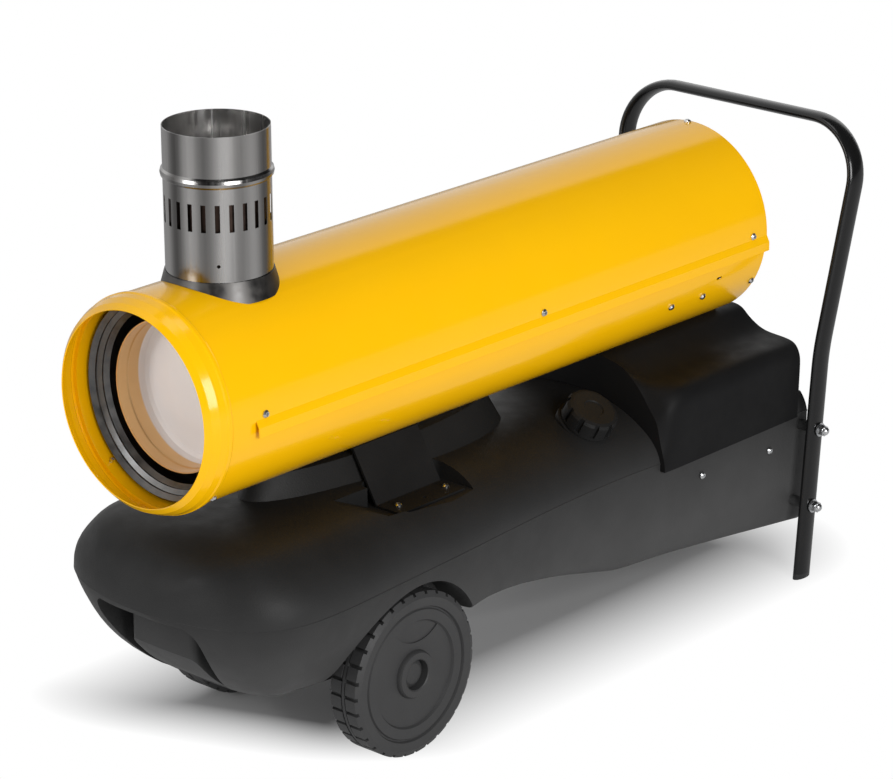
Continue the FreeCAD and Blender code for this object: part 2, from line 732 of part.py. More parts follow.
nozzle_y = d.burner_front_y + 20
node(turned("nozzle", [
    (0, nozzle_y),
    (1.5, nozzle_y),
    (6, nozzle_y + 5),
    (7.5, nozzle_y + 6),
    (7.5, nozzle_y + 14),
    (0, nozzle_y + 14),
], z=d.axis_z), "spray_nozzle")
node(turned("holder", [
    (0, nozzle_y + 14.2),
    (9, nozzle_y + 14.2),
    (9, nozzle_y + 34),
    (6, nozzle_y + 36),
    (6, nozzle_y + 60),
    (0, nozzle_y + 60),
], z=d.axis_z), "nozzle_holder")


def electrode_pair():
    ceramic = Part.makeCylinder(4, 62, Vector(0, 0, 0))
    wire = Part.makeCylinder(1.2, 22, Vector(0, 0, -20))
    rod = ceramic.fuse(wire)
    rods = []
    for x in (-15, 15):
        copy = rod.copy()
        spot = Vector(x, nozzle_y.value + 22, mm("axis_z") + 13)
        copy.Placement = FreeCAD.Placement(spot, FreeCAD.Rotation(Vector(1, 0, 0), -90))
        rods.append(copy)
    return rods


node(feature("electrodes", Part.makeCompound(electrode_pair())), "ignition_electrodes")
node(turned("sensor", [
    (0, d.burner_rear_y - 20),
    (6, d.burner_rear_y - 20),
    (6, d.burner_rear_y),
    (9, d.burner_rear_y),
    (9, d.burner_rear_y + 12),
    (0, d.burner_rear_y + 12),
], z=d.axis_z - 26), "flame_sensor")


def rounded_path(points, radius):
    """Wire through the points with each inner corner rounded."""
    edges = []
    start = points[0]
    for index in range(1, len(points) - 1):
        corner = points[index]
        before = (points[index - 1] - corner).normalize()
        after = (points[index + 1] - corner).normalize()
        bend = math.acos(max(-1.0, min(1.0, before.dot(after))))
        reach = radius[index - 1] / math.tan(bend / 2)
        first = corner + before * reach
        last = corner + after * reach
        halfway = (before + after).normalize()
        middle = corner + halfway * (radius[index - 1] / math.sin(bend / 2) - radius[index - 1])
        edges.append(Part.makeLine(start, first))
        edges.append(Part.Arc(first, middle, last).toShape())
        start = last
    edges.append(Part.makeLine(start, points[-1]))
    return Part.Wire(edges)


def swept(path, radius):
    start = path.Edges[0].Vertexes[0].Point
    direction = path.Edges[0].tangentAt(path.Edges[0].FirstParameter)
    section = Part.Wire(Part.makeCircle(radius, start, direction))
    return path.makePipeShell([section], True, False)


pump_y = mm("motor_front_y") - 20
axis = mm("axis_z")
pipe_path = rounded_path([
    Vector(-27.2, pump_y, axis),
    Vector(-45, pump_y, axis),
    Vector(-45, 150, axis),
    Vector(0, 150, axis),
    Vector(0, nozzle_y.value + 60.2, axis),
], [8, 8, 8])
node(feature("pipe", swept(pipe_path, 2.5)), "nozzle_pipe")

# Handle of bent tube
leg_x = mm("leg_x")
foot = Vector(leg_x, mm("foot_y"), 0)
bend = Vector(leg_x, mm("bend_y"), mm("bend_z"))
corner = Vector(leg_x, mm("bar_y"), mm("bar_z"))


def over(spot):
    return Vector(-spot.x, spot.y, spot.z)


plug_h = 6
leg_way = (bend - foot).normalize()
tube_start = foot + leg_way * (plug_h / leg_way.z)
handle_points = [tube_start, bend, corner, over(corner), over(bend), over(tube_start)]
handle_bends = [mm("bend_radius"), mm("corner_radius"), mm("corner_radius"), mm("bend_radius")]
handle_path = rounded_path(handle_points, handle_bends)
tube_solid = swept(handle_path, mm("tube_r"))
tube_hollow = swept(handle_path, mm("tube_r") - mm("tube_t"))


def leg_at(z):
    return Vector(leg_x, foot.y + (bend.y - foot.y) * z / bend.z, z)


bolt_spots = [(leg_at(mm(z)), Vector(1, 0, 0)) for z in ("bolt_high_z", "bolt_low_z")]
bolt_spots = both_sides(bolt_spots)
bolt_holes = hole_group("bolt_holes", mm("bolt_r") + mm("hole_gap"), 84, bolt_spots)
handle_tube = feature("handle_tube", tube_solid.cut(tube_hollow))
node(cut("handle_cut", handle_tube, bolt_holes), "handle")


def foot_plugs():
    """Plugs in the leg ends, cut level where they stand on the floor."""
    tube_in = mm("tube_r") - mm("tube_t") - 0.1
    rim = mm("tube_r")
    head = plug_h - 0.4
    plug = turned_shape([(0, -plug_h), (rim, -plug_h), (rim, head), (tube_in, head), (tube_in, 26), (0, 26)])
    pair = [aimed(plug, foot, leg_way), aimed(plug, over(foot), over(leg_way))]
    below = Part.makeBox(4 * leg_x, 100, 50, Vector(-2 * leg_x, foot.y - 50, -50))
    return Part.makeCompound([one.cut(below) for one in pair])


node(feature("plugs", foot_plugs()), "foot_plugs")


def hexagon(across, height, base):
    radius = across / math.sqrt(3)
    points = [Vector(radius * math.cos(k * math.pi / 3), radius * math.sin(k * math.pi / 3), base) for k in range(6)]
    return Part.Face(Part.makePolygon(points + [points[0]])).extrude(Vector(0, 0, height))


tube_r = mm("tube_r")
bolt_r = mm("bolt_r")
bolt_in = 38
bolt_out = 12
bolt_shape = Part.makeCylinder(bolt_r, bolt_in + tube_r + bolt_out, Vector(0, 0, -bolt_in))
group("handle_bolts", bolt_shape, bolt_spots)
washer = Part.makeCylinder(9, 1.6, Vector(0, 0, tube_r + 0.2)).cut(Part.makeCylinder(bolt_r + 0.2, 20))
group("handle_washers", washer, bolt_spots)
nut_base = tube_r + 2
nut = hexagon(13, 6.5, nut_base)
dome_r = 6
dome = Part.makeSphere(dome_r, Vector(0, 0, nut_base + 6)).common(hexagon(14, 12, nut_base + 6))
nut = nut.fuse(dome).cut(Part.makeCylinder(bolt_r + 0.05, bolt_out + tube_r + 0.2))
group("handle_nuts", nut, bolt_spots)

# Moulded fuel tank
# Rows of place along the tank and half width at the parting line behind the nose
TANK_WIDTH = [
    (-424, 192), (-384, 186), (-334, 170), (-284, 160), (-234, 157), (-190, 155),
    (-135, 152), (-13, 146), (100, 144), (187, 146), (288, 147), (464, 148),
]
# Rows of place along the tank and depth below the parting line behind the nose
TANK_DEPTH = [
    (-450, 120), (-410, 129), (-370, 140), (-320, 147), (-270, 145), (-240, 126), (-215, 98), (-190, 80),
    (-160, 77), (-110, 80), (-13, 87), (100, 108), (187, 117), (288, 127), (380, 138), (464, 147),
]
NOSE_Y = -583.5
WIDTH_START = -424
RISE_START = -471
DEPTH_START = -450
TAIL_START = 405


def smooth(rows, y):
    """Curve through the rows without corners."""
    if y <= rows[0][0]:
        return rows[0][1]
    index = max(k for k in range(len(rows) - 1) if rows[k][0] <= y)
    (x1, v1), (x2, v2) = rows[index], rows[index + 1]
    x0, v0 = rows[max(index - 1, 0)]
    x3, v3 = rows[min(index + 2, len(rows) - 1)]
    step = x2 - x1
    share = (y - x1) / step
    slope1 = (v2 - v0) / (x2 - x0) * step
    slope2 = (v3 - v1) / (x3 - x1) * step
    if index == 0:
        slope1 = 0
    cube = share ** 3
    square = share ** 2
    part1 = v1 * (2 * cube - 3 * square + 1) + slope1 * (cube - 2 * square + share)
    part2 = v2 * (3 * square - 2 * cube) + slope2 * (cube - square)
    return part1 + part2


def nose(y, start, power, root):
    """Share of the full size that the rounded nose reaches at y."""
    if y >= start:
        return 1.0
    share = (start - y) / (start - NOSE_Y)
    return max(1 - share ** power, 0) ** root


def tank_sizes(y):
    tail = 1.0
    if y > TAIL_START:
        tail = 1 - 0.035 * ((y - TAIL_START) / (mm("tank_rear_y") - TAIL_START)) ** 5
    half_w = smooth(TANK_WIDTH, y) * nose(y, WIDTH_START, 3.2, 0.5) * tail
    rise = mm("tank_rise") * nose(y, RISE_START, 4, 0.5) * tail
    depth = smooth(TANK_DEPTH, y) * nose(y, DEPTH_START, 2.6, 0.9) * tail
    return half_w, rise, depth


def blend(y, start, end):
    step = max(0.0, min(1.0, (y - start) / (end - start)))
    return step * step * (3 - 2 * step)


def even_spline(points):
    """Smooth edge through points that share the same even parameters in every section."""
    curve = Part.BSplineCurve()
    last = len(points) - 1
    curve.interpolate(Points=points, Parameters=[index / last for index in range(last + 1)])
    return curve.toShape()


def mixed(front, rear, share):
    """Shape points between those of the front and those of the rear."""
    return [(x0 + (x1 - x0) * share, z0 + (z1 - z0) * share) for (x0, z0), (x1, z1) in zip(front, rear)]


# Guide points of the half sections, across as a share of the width and up as a share of the height
TOP_FRONT = [(1, 0), (1, 0.45), (0.95, 0.93), (0.6, 1)]
TOP_REAR = [(1, 0), (0.98, 0.28), (0.76, 0.68), (0.36, 1)]
BOWL_FRONT = [(1, 0), (0.9, 0.42), (0.8, 0.98), (0.42, 1)]
BOWL_REAR = [(1, 0), (0.985, 0.55), (0.965, 0.99), (0.5, 1)]


def guided(shares, half_w, height, y, middle):
    """Smooth edge over the section from one side to the other."""
    right = [Vector(half_w * x, y, middle + height * z) for x, z in shares]
    left = [Vector(-v.x, v.y, v.z) for v in right[::-1]]
    curve = Part.BSplineCurve()
    curve.buildFromPoles(right + [Vector(0, y, middle + height)] + left, False, 3)
    return curve


def tank_section(y, half_w, rise, depth):
    """Closed wire of one tank cross section with a crease at the parting line."""
    run = (y - NOSE_Y) / (mm("tank_rear_y") - NOSE_Y)
    middle = mm("parting_z") - mm("parting_drop") * run
    over_shape = mixed(TOP_FRONT, TOP_REAR, blend(y, -330, 120))
    under_shape = mixed(BOWL_FRONT, BOWL_REAR, blend(y, -300, -180))
    upper = guided(over_shape, half_w, rise, y, middle)
    lower = guided(under_shape, half_w, -depth, y, middle)
    lower.reverse()
    return Part.Wire([upper.toShape(), lower.toShape()])


def tank_loft(grow, front, rear, count=30):
    """Tank solid between two places, grown or shrunk all round by a margin."""
    wires = []
    for index in range(count + 1):
        y = front + (rear - front) * (1 - math.cos(math.pi * index / count)) / 2
        half_w, rise, depth = tank_sizes(y)
        wires.append(tank_section(y, half_w + grow, rise + grow, depth + grow))
    return Part.makeLoft(wires, True, False, False, 3)


def room(x0, x1, y0, y1, z0, z1):
    return Part.makeBox(x1 - x0, y1 - y0, z1 - z0, Vector(x0, y0, z0))


wide = 220
deck_y = mm("deck_y")
deck_z = mm("deck_z")
rear_y = mm("tank_rear_y")
wheel_y = mm("wheel_y")
wheel_z = mm("wheel_r")


def oval(half_l, half_w, y, z):
    ellipse = Part.Ellipse(Vector(0, y, z), half_l, half_w)
    ellipse.rotate(FreeCAD.Placement(Vector(0, y, z), FreeCAD.Rotation(Vector(0, 0, 1), 90), Vector(0, 0, 0)))
    return Part.Wire(ellipse.toShape())


def saddle():
    """Oval rise of the tank below the casing."""
    centre_y = -197
    low = oval(232, 77, 0, 276)
    high = oval(196, 45, 0, mm("hump_top_z"))
    rise = Part.makeLoft([low, high], True, True)
    rise.translate(Vector(0, centre_y, 0))
    return rise


def arches(margin):
    inner_x = mm("arch_in_x") - margin
    radius = mm("arch_r") + margin
    tools = []
    for side in (1, -1):
        start = Vector(inner_x * side, wheel_y, wheel_z)
        tools.append(Part.makeCylinder(radius, wide - inner_x, start, Vector(side, 0, 0)))
    return tools


def front_recess():
    """Scooped space in the nose, wider at the bottom, with its middle block left standing."""
    outline = [(-72, 222), (72, 222), (79, 205), (85, 180), (97, 150), (112, 90), (-112, 90), (-97, 150)]
    outline += [(-85, 180), (-79, 205)]
    points = [Vector(x, -600, z) for x, z in outline]
    scoop = Part.Face(Part.makePolygon(points + [points[0]])).extrude(Vector(0, 118, 0))
    block = room(-56, 56, -539, -470, 60, 230)
    upright = [edge for edge in block.Edges if abs(edge.tangentAt(edge.FirstParameter).z) > 0.9]
    front = [edge for edge in upright if edge.CenterOfMass.y < -530]
    return scoop.cut(block.makeFillet(11, front))


def bracket_pocket(side):
    x0 = 60
    x1 = 132
    y0 = mm("bracket_y") - 10
    y1 = mm("bracket_y") + mm("bracket_w") + 10
    z0 = mm("bracket_fold_z") - mm("bracket_t")
    shape = room(x0, x1, y0, y1, z0, z0 + 80)
    upright = [edge for edge in shape.Edges if abs(edge.tangentAt(edge.FirstParameter).z) > 0.9]
    shape = shape.makeFillet(12, upright)
    if side < 0:
        shape = shape.mirror(Vector(0, 0, 0), Vector(1, 0, 0))
    return shape


cap_spot = Vector(mm("cap_x"), mm("cap_y"), mm("cap_z"))
cap_turn = FreeCAD.Rotation(Vector(0, 1, 0), mm("cap_tilt"))
cap_way = cap_turn.multVec(Vector(0, 0, 1))
boss_top = 1.5
boss_low = 16
neck_low = 14
filler_boss = Part.makeCylinder(37, boss_low + boss_top, cap_spot - cap_way * boss_low, cap_way)
filler_hole = Part.makeCylinder(mm("neck_r") + 0.2, 60, cap_spot - cap_way * 40, cap_way)
axle_r = mm("axle_r")
groove_r = axle_r + 0.5
groove = Part.makeCylinder(groove_r, wide, Vector(-wide / 2, wheel_y, wheel_z), Vector(1, 0, 0))
groove = groove.fuse(room(-wide / 2, wide / 2, wheel_y - groove_r, wheel_y + groove_r, 40, wheel_z))
drain_y = 250
drain_z = 92
drain_boss = Part.makeCylinder(15, 16, Vector(0, drain_y, drain_z))
drain_hole = Part.makeCylinder(7.3, 40, Vector(0, drain_y, drain_z - 10))
strap_z = 80
underside = room(-wide / 2, wide / 2, wheel_y - 40, wheel_y + 40, 40, strap_z)


def fuel_space():
    """Hollow of the tank kept clear of every recess by the wall."""
    wall = mm("tank_wall")
    space = tank_loft(-wall, -520, 430, 24)
    keep_out = arches(wall)
    keep_out.append(room(-wide, wide, deck_y - wall, 500, deck_z - wall, 400))
    keep_out.append(room(-118, 118, -600, -474, 60, 232))
    keep_out.append(room(-wide, wide, wheel_y - 44, wheel_y + 44, 40, wheel_z + groove_r + wall))
    for side in (1, -1):
        y0 = mm("bracket_y") - 16
        y1 = mm("bracket_y") + mm("bracket_w") + 16
        x0, x1 = sorted((52 * side, 150 * side))
        keep_out.append(room(x0, x1, y0, y1, 248, 360))
    keep_out.append(room(-wide, wide, 424, 500, 40, 400))
    return space.cut(keep_out)


nose_flat = 0.8
tank_outer = tank_loft(0, NOSE_Y + nose_flat, rear_y).cut(room(-wide, wide, deck_y, 500, deck_z, 400))
tank_outer = tank_outer.fuse([saddle(), filler_boss, drain_boss])
tank_tools = arches(0) + [front_recess(), bracket_pocket(1), bracket_pocket(-1), groove, underside]
tank_shape = tank_outer.cut(tank_tools).cut(fuel_space())
tank_shape = tank_shape.cut([filler_hole, drain_hole])
tank_side = [(Vector(147, y, z), Vector(1, 0, 0)) for y, z in ((248, 188), (386, 182))]
tank_spots = both_sides(tank_side)
flange_z = mm("bracket_fold_z")
foot_screws = [(Vector(100, y, flange_z), Vector(0, 0, 1)) for y in (-258, -177)]
foot_screws = both_sides(foot_screws)
tank_holes = hole_group("tank_holes", hole_r, 30, tank_spots + foot_screws)
tank_solid = feature("tank_solid", tank_shape)
tank_drilled = cut("tank_drilled", tank_solid, tank_holes)
node(cut("tank_cut", tank_drilled, bolt_holes), "fuel_tank")
group("tank_screws", pan_screw(), tank_spots)
group("support_screws", pan_screw(), foot_screws)

# Filler neck, strainer and fuel cap
neck = turned("neck", [
    (d.neck_bore_r, -neck_low),
    (d.neck_r, -neck_low),
    (d.neck_r, d.neck_h),
    (d.neck_bore_r, d.neck_h),
], role="XZ_Plane", x=d.cap_x, y=d.cap_y, z=d.cap_z)
neck.Placement = FreeCAD.Placement(cap_spot, cap_turn)
node(neck, "filler_neck")

strainer = body("strainer")
basket_r = d.neck_bore_r - 3
revolve(strainer, sketch(strainer, "XZ_Plane", [
    (0, -50),
    (basket_r, -50),
    (basket_r, 4),
    (d.neck_bore_r - 0.3, 4),
    (d.neck_bore_r - 0.3, 6),
    (basket_r - 1.5, 6),
    (basket_r - 1.5, -48.5),
    (0, -48.5),
]))
mesh_outline = sketch(strainer, "YZ_Plane", [(-2, -44), (2, -44), (2, -4), (-2, -4)], 8)
polar(strainer, pocket(strainer, mesh_outline, 14, reverse=True), "Z_Axis", 10)
place(strainer, d.cap_x, d.cap_y, d.cap_z)
strainer.Placement = FreeCAD.Placement(cap_spot, cap_turn)
node(strainer, "filler_strainer")

cap = body("cap")
cap_low = 2
cap_roof = d.neck_h + 4
cap_top = d.cap_h + cap_low
revolve(cap, sketch(cap, "XZ_Plane", [
    (0, cap_roof),
    (d.neck_r + 0.8, cap_roof),
    (d.neck_r + 0.8, cap_low),
    (d.cap_r - 1, cap_low),
    (d.cap_r, cap_low + 1),
    (d.cap_r, cap_top - 5),
    (d.cap_r - 2, cap_top - 1.5),
    (d.cap_r - 6, cap_top),
    (13, cap_top),
    (12, cap_top - 1.5),
    (0, cap_top - 1.5),
]))
notch_outline = sketch(cap, "XY_Plane", [
    (d.cap_r - 3.2, -2.6),
    (d.cap_r + 2, -4),
    (d.cap_r + 2, 4),
    (d.cap_r - 3.2, 2.6),
], cap_low + 4)
polar(cap, pocket(cap, notch_outline, 40, reverse=True), "Z_Axis", d.cap_notches)
place(cap, d.cap_x, d.cap_y, d.cap_z)
cap.Placement = FreeCAD.Placement(cap_spot, cap_turn)
node(cap, "fuel_cap")

gasket = turned("gasket", [
    (d.neck_bore_r + 0.3, d.neck_h + 0.3),
    (d.neck_r - 0.3, d.neck_h + 0.3),
    (d.neck_r - 0.3, cap_roof - 0.3),
    (d.neck_bore_r + 0.3, cap_roof - 0.3),
], role="XZ_Plane", x=d.cap_x, y=d.cap_y, z=d.cap_z)
gasket.Placement = FreeCAD.Placement(cap_spot, cap_turn)
node(gasket, "cap_gasket")

node(feature("drain", turned_shape([
    (0, 24), (7, 24), (7, 0), (11, 0), (11, -5), (4, -5), (4, -2), (0, -2),
])), "drain_plug")
place(nodes[-1], 0, drain_y, drain_z - 0.2)

# Front supports between tank and casing
support = body("support")
top_x = d.bracket_top_x
fold_x = d.bracket_fold_x
fold_z = d.bracket_fold_z
top_z = 345.4
thick = d.bracket_t
support_outline = sketch(support, "XZ_Plane", [
    (top_x, top_z),
    (fold_x, fold_z),
    (fold_x + d.flange_w, fold_z),
    (fold_x + d.flange_w, fold_z - thick + 0.3),
    (fold_x - 1.8, fold_z - thick + 0.3),
    (top_x - 3.4, top_z - 0.6),
], -d.bracket_y)
pad(support, support_outline, d.bracket_w, reverse=True)
support_holes = hole_group("support_holes", hole_r, 20, foot_screws[:2] + [(Vector(104, -217, flange_z), Vector(0, 0, 1))])
casing_clear = cylinder("casing_clear", lower_r + 0.2, 300, y=-380, z=d.axis_z, along="y")
support_drilled = cut("support_drilled", support, support_holes)
support_right = node(cut("support_cut", support_drilled, casing_clear), "front_support_right")
mirrored(support_right, "front_support_left")

# Wheels with two rows of tread blocks, on a fixed axle
wheel = body("wheel")
half = d.wheel_w / 2
bore = d.axle_r + d.axle_fit
tread_low = d.wheel_r - 4
revolve(wheel, sketch(wheel, "XY_Plane", [
    (-half + 2, bore),
    (half - 12, bore),
    (half - 12, 18.5),
    (half - 1, 18.5),
    (half, 20),
    (half, 27),
    (half - 2, 28.5),
    (half - 6, 29.5),
    (half - 6, 64),
    (half - 3, 66),
    (half - 3, 78),
    (half - 5, 79.5),
    (half - 5, 81),
    (half - 2, 82.5),
    (half - 1, d.wheel_r - 7),
    (half - 5, d.wheel_r),
    (3.5, d.wheel_r),
    (3.5, tread_low),
    (2, tread_low),
    (2, d.wheel_r - 0.5),
    (-2, d.wheel_r - 0.5),
    (-2, tread_low),
    (-3.5, tread_low),
    (-3.5, d.wheel_r),
    (-half + 5, d.wheel_r),
    (-half + 1, d.wheel_r - 7),
    (-half + 3, 80),
    (-half + 14, 78),
    (-half + 14, 26),
    (-half + 2, 24),
]), "H_Axis")
for low, high in ((3.5, half + 1), (-(half + 1), -3.5)):
    gap_outline = sketch(wheel, "XY_Plane", [
        (low, tread_low),
        (high, tread_low + 0.8),
        (high, d.wheel_r + 2),
        (low, d.wheel_r + 2),
    ])
    gap = pocket(wheel, gap_outline, 4.4, middle=True)
    polar(wheel, gap, "X_Axis", 32)
place(wheel, x=d.wheel_out_x - half, y=d.wheel_y, z=d.wheel_r)
wheel_right = node(wheel, "wheel_right")
mirrored(wheel_right, "wheel_left")

node(cylinder("axle", d.axle_r, d.axle_end_x * 2, x=-d.axle_end_x, y=d.wheel_y, z=d.wheel_r, along="x"), "axle")
end_spots = both_sides([(Vector(mm("axle_end_x"), wheel_y, wheel_z), Vector(1, 0, 0))])
end_cap = turned_shape([(0, 0.2), (axle_r + 0.1, 0.2), (axle_r + 0.1, -1.2), (16, -1.2), (16, 1.5), (12, 3.5), (0, 4)])
group("axle_caps", end_cap, end_spots)
washer_x = mm("wheel_out_x") - mm("wheel_w") + 1.4
axle_washer = Part.makeCylinder(20, 2, Vector(0, 0, -2)).cut(Part.makeCylinder(axle_r + 0.1, 10, Vector(0, 0, -5)))
washer_spots = both_sides([(Vector(washer_x, wheel_y, wheel_z), Vector(1, 0, 0))])
group("axle_washers", axle_washer, washer_spots)


def axle_strap():
    plate = room(-20, 20, -34, 34, strap_z - wheel_z - 3, strap_z - wheel_z - 0.2)
    block = room(-20, 20, -groove_r + 0.3, groove_r - 0.3, strap_z - wheel_z - 3, -axle_r - 0.1)
    holes = [Part.makeCylinder(2.2, 20, Vector(0, y, -30)) for y in (-22, 22)]
    return plate.fuse(block).cut(holes)


strap_spots = [(Vector(x, wheel_y, wheel_z), Vector(0, 0, 1)) for x in (-70, 70)]
group("axle_straps", axle_strap(), strap_spots)

# Rear cover over the electrical parts
COVER_FULL = [(0, 347), (50, 347), (70, 336), (92, 323), (115, 319.5), (138, 318), (150, 312), (155.5, 300),
              (156, 280), (154.5, 240), (154, 216)]
COVER_FRONT = [(0, 345), (45, 345), (72, 341), (87, 335), (105, 320.5), (120, 303), (131, 288), (139, 276),
               (145, 253), (151, 232), (153, 216)]
# Each row gives the place behind the front face and how far the full section is reached
COVER_STEPS = [(0, 0), (6, 0.3), (16, 0.68), (32, 0.94), (55, 1), (130, 1), (255, 1), (269, 0.96)]


def cover_section(y, share, inset):
    base = mm("cover_base_z") - inset * 3
    right = []
    for (x0, z0), (x1, z1) in zip(COVER_FRONT, COVER_FULL):
        x = x0 + (x1 - x0) * share
        z = z0 + (z1 - z0) * share
        right.append(Vector(x * (1 - inset / 155), y, max(z - inset, base)))
    left = [Vector(-v.x, v.y, v.z) for v in right[1:]]
    edge = even_spline(right[::-1] + left)
    close = Part.makeLine(left[-1], right[-1])
    return Part.Wire([edge, close])


def cover_loft(inset):
    front = mm("cover_front_y")
    wires = []
    for index, (step, share) in enumerate(COVER_STEPS):
        y = front + step
        if index == 0:
            y += inset
        if index == len(COVER_STEPS) - 1:
            y -= inset
        wires.append(cover_section(y, share, inset))
    return Part.makeLoft(wires, True, False, False, 3)


cover_y = mm("cover_rear_y")
clear = 0.4
cover_shape = cover_loft(0).cut(cover_loft(mm("cover_t")))
casing_tool = Part.makeCylinder(lower_r.value + clear, 400, Vector(0, 100, axis), Vector(0, 1, 0))
tank_tool = tank_loft(clear, -200, rear_y, 20).cut(room(-wide, wide, deck_y + clear, 500, deck_z + clear, 400))
cover_shape = cover_shape.cut([casing_tool, tank_tool])
hose_tool = Part.makeCylinder(7, 80, Vector(hose_hole_x, hose_hole_y, 300))
switch_z = 296
switch_x = -100
reset_x = -58
socket_x = 62
gland_x = 104
switch_hole = room(switch_x - 14.2, switch_x + 14.2, cover_y - 20, cover_y + 10, switch_z - 11.2, switch_z + 11.2)
round_holes = [(reset_x, 9.2), (socket_x, 11.2), (gland_x, 8.2)]
panel_holes = [Part.makeCylinder(r, 40, Vector(x, cover_y - 20, switch_z), Vector(0, 1, 0)) for x, r in round_holes]
cover_shape = cover_shape.cut([hose_tool, switch_hole] + panel_holes)
node(feature("cover", cover_shape), "rear_cover")

# Controls on the rear face of the cover
bezel = room(switch_x - 17, switch_x + 17, cover_y + 0.1, cover_y + 2.5, switch_z - 14, switch_z + 14)
well = room(switch_x - 14, switch_x + 14, cover_y - 14, cover_y + 0.1, switch_z - 11, switch_z + 11)
opening = room(switch_x - 11.5, switch_x + 11.5, cover_y - 11, cover_y + 10, switch_z - 8.5, switch_z + 8.5)
node(feature("bezel", bezel.fuse(well).cut(opening)), "switch_bezel")
rocker_points = [(-10.5, -1), (-10.2, 6.4), (0, 4.2), (10.2, 6.4), (10.5, -1), (4, -4), (-4, -4)]
rocker_wire = [Vector(x, y, -8) for x, y in rocker_points]
rocker = Part.Face(Part.makePolygon(rocker_wire + [rocker_wire[0]])).extrude(Vector(0, 0, 16))
rocker_tilt = 7
power_switch = node(feature("rocker", rocker), "power_switch")
place(power_switch, switch_x, cover_y - 1, switch_z, ((0, 0, 1), rocker_tilt))
way = Vector(0, 1, 0)
reset_spot = [(Vector(reset_x, cover_y, switch_z), way)]
group("reset_bezel", turned_shape([(7, -12), (9, -12), (9, 0.1), (13, 0.1), (13, 2.2), (10, 4), (7, 4)]), reset_spot)
group("reset_button", turned_shape([(0, -10), (6.6, -10), (6.6, 5.5), (5.5, 6.5), (0, 6.8)]), reset_spot)
socket_spot = [(Vector(socket_x, cover_y, switch_z), way)]
group("thermostat_socket", turned_shape([
    (0, -10), (11, -10), (11, 0.1), (15, 0.1), (15, 3), (13, 8), (9, 8), (9, 2), (0, 2),
]), socket_spot)
gland_spot = [(Vector(gland_x, cover_y, switch_z), way)]
group("cable_gland", turned_shape([
    (4, -10), (8, -10), (8, 0.1), (12, 0.1), (12, 6), (10, 8), (10, 16), (6.5, 20), (4, 20),
]), gland_spot)

# Electrical and fuel parts below the cover
deck = deck_z + 0.2
node(box("control", 90, 110, 46, x=30, y=210, z=deck), "control_box")
coil_block = box("coil_block", 64, 76, 50, x=-70, y=290, z=deck)
coil_lead = cylinder("coil_lead", 6, 16, x=-54, y=365, z=deck + 25, along="y")
coil_lead_two = cylinder("coil_lead_two", 6, 16, x=-22, y=365, z=deck + 25, along="y")
node(fuse("coil", coil_block, coil_lead, coil_lead_two), "ignition_transformer")
node(feature("filter", turned_shape([
    (0, 0), (14, 0), (18, 4), (18, 34), (20, 34), (20, 46), (6, 50), (0, 50),
])), "fuel_filter")
filter_x = -105
filter_y = 240
place(nodes[-1], filter_x, filter_y, deck)
hose_path = rounded_path([
    Vector(filter_x, filter_y, deck + 50.2),
    Vector(filter_x, filter_y, deck + 62),
    Vector(hose_hole_x, hose_hole_y, deck + 62),
    Vector(hose_hole_x, hose_hole_y, axis - 40),
    Vector(hose_hole_x, pump_y, axis - 14),
    Vector(-27.2, pump_y, axis - 14),
], [8, 8, 12, 8])
node(feature("hose", swept(hose_path, 4)), "suction_hose")

doc.recompute()
for thing in doc.Objects:
    if "Invalid" in thing.State or "Error" in thing.State:
        raise RuntimeError(f"{thing.Label} does not build")
for thing in nodes:
    if thing.Shape.isNull() or not thing.Shape.isValid():
        raise RuntimeError(f"{thing.Label} has no valid shape")
    thing.Shape.exportStep(f"parts/{thing.Label}.step")
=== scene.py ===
import math

import bpy
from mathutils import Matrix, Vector


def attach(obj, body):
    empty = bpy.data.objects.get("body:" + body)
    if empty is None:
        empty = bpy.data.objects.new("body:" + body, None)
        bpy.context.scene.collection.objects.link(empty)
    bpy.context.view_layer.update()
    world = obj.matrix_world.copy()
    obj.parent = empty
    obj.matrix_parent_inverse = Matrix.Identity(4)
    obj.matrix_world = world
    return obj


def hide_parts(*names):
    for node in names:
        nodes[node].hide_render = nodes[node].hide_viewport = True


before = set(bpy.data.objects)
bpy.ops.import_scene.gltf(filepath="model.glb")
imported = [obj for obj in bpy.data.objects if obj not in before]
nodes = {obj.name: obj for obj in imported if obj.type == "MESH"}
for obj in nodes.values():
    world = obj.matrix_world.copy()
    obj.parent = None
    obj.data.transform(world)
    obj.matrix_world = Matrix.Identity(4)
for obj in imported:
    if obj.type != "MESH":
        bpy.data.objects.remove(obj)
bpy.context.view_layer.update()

scene = bpy.context.scene
scene.view_settings.view_transform = "Standard"

# Shader helpers
# The colour sockets of a mix node share their names, so they go by number
MIX_FACTOR = 0
MIX_FIRST = 6
MIX_SECOND = 7
MIX_RESULT = 2
# Most of a noise lies between these values
NOISE_RANGE = (0.3, 0.7)
COAT_ROUGH = 0.05


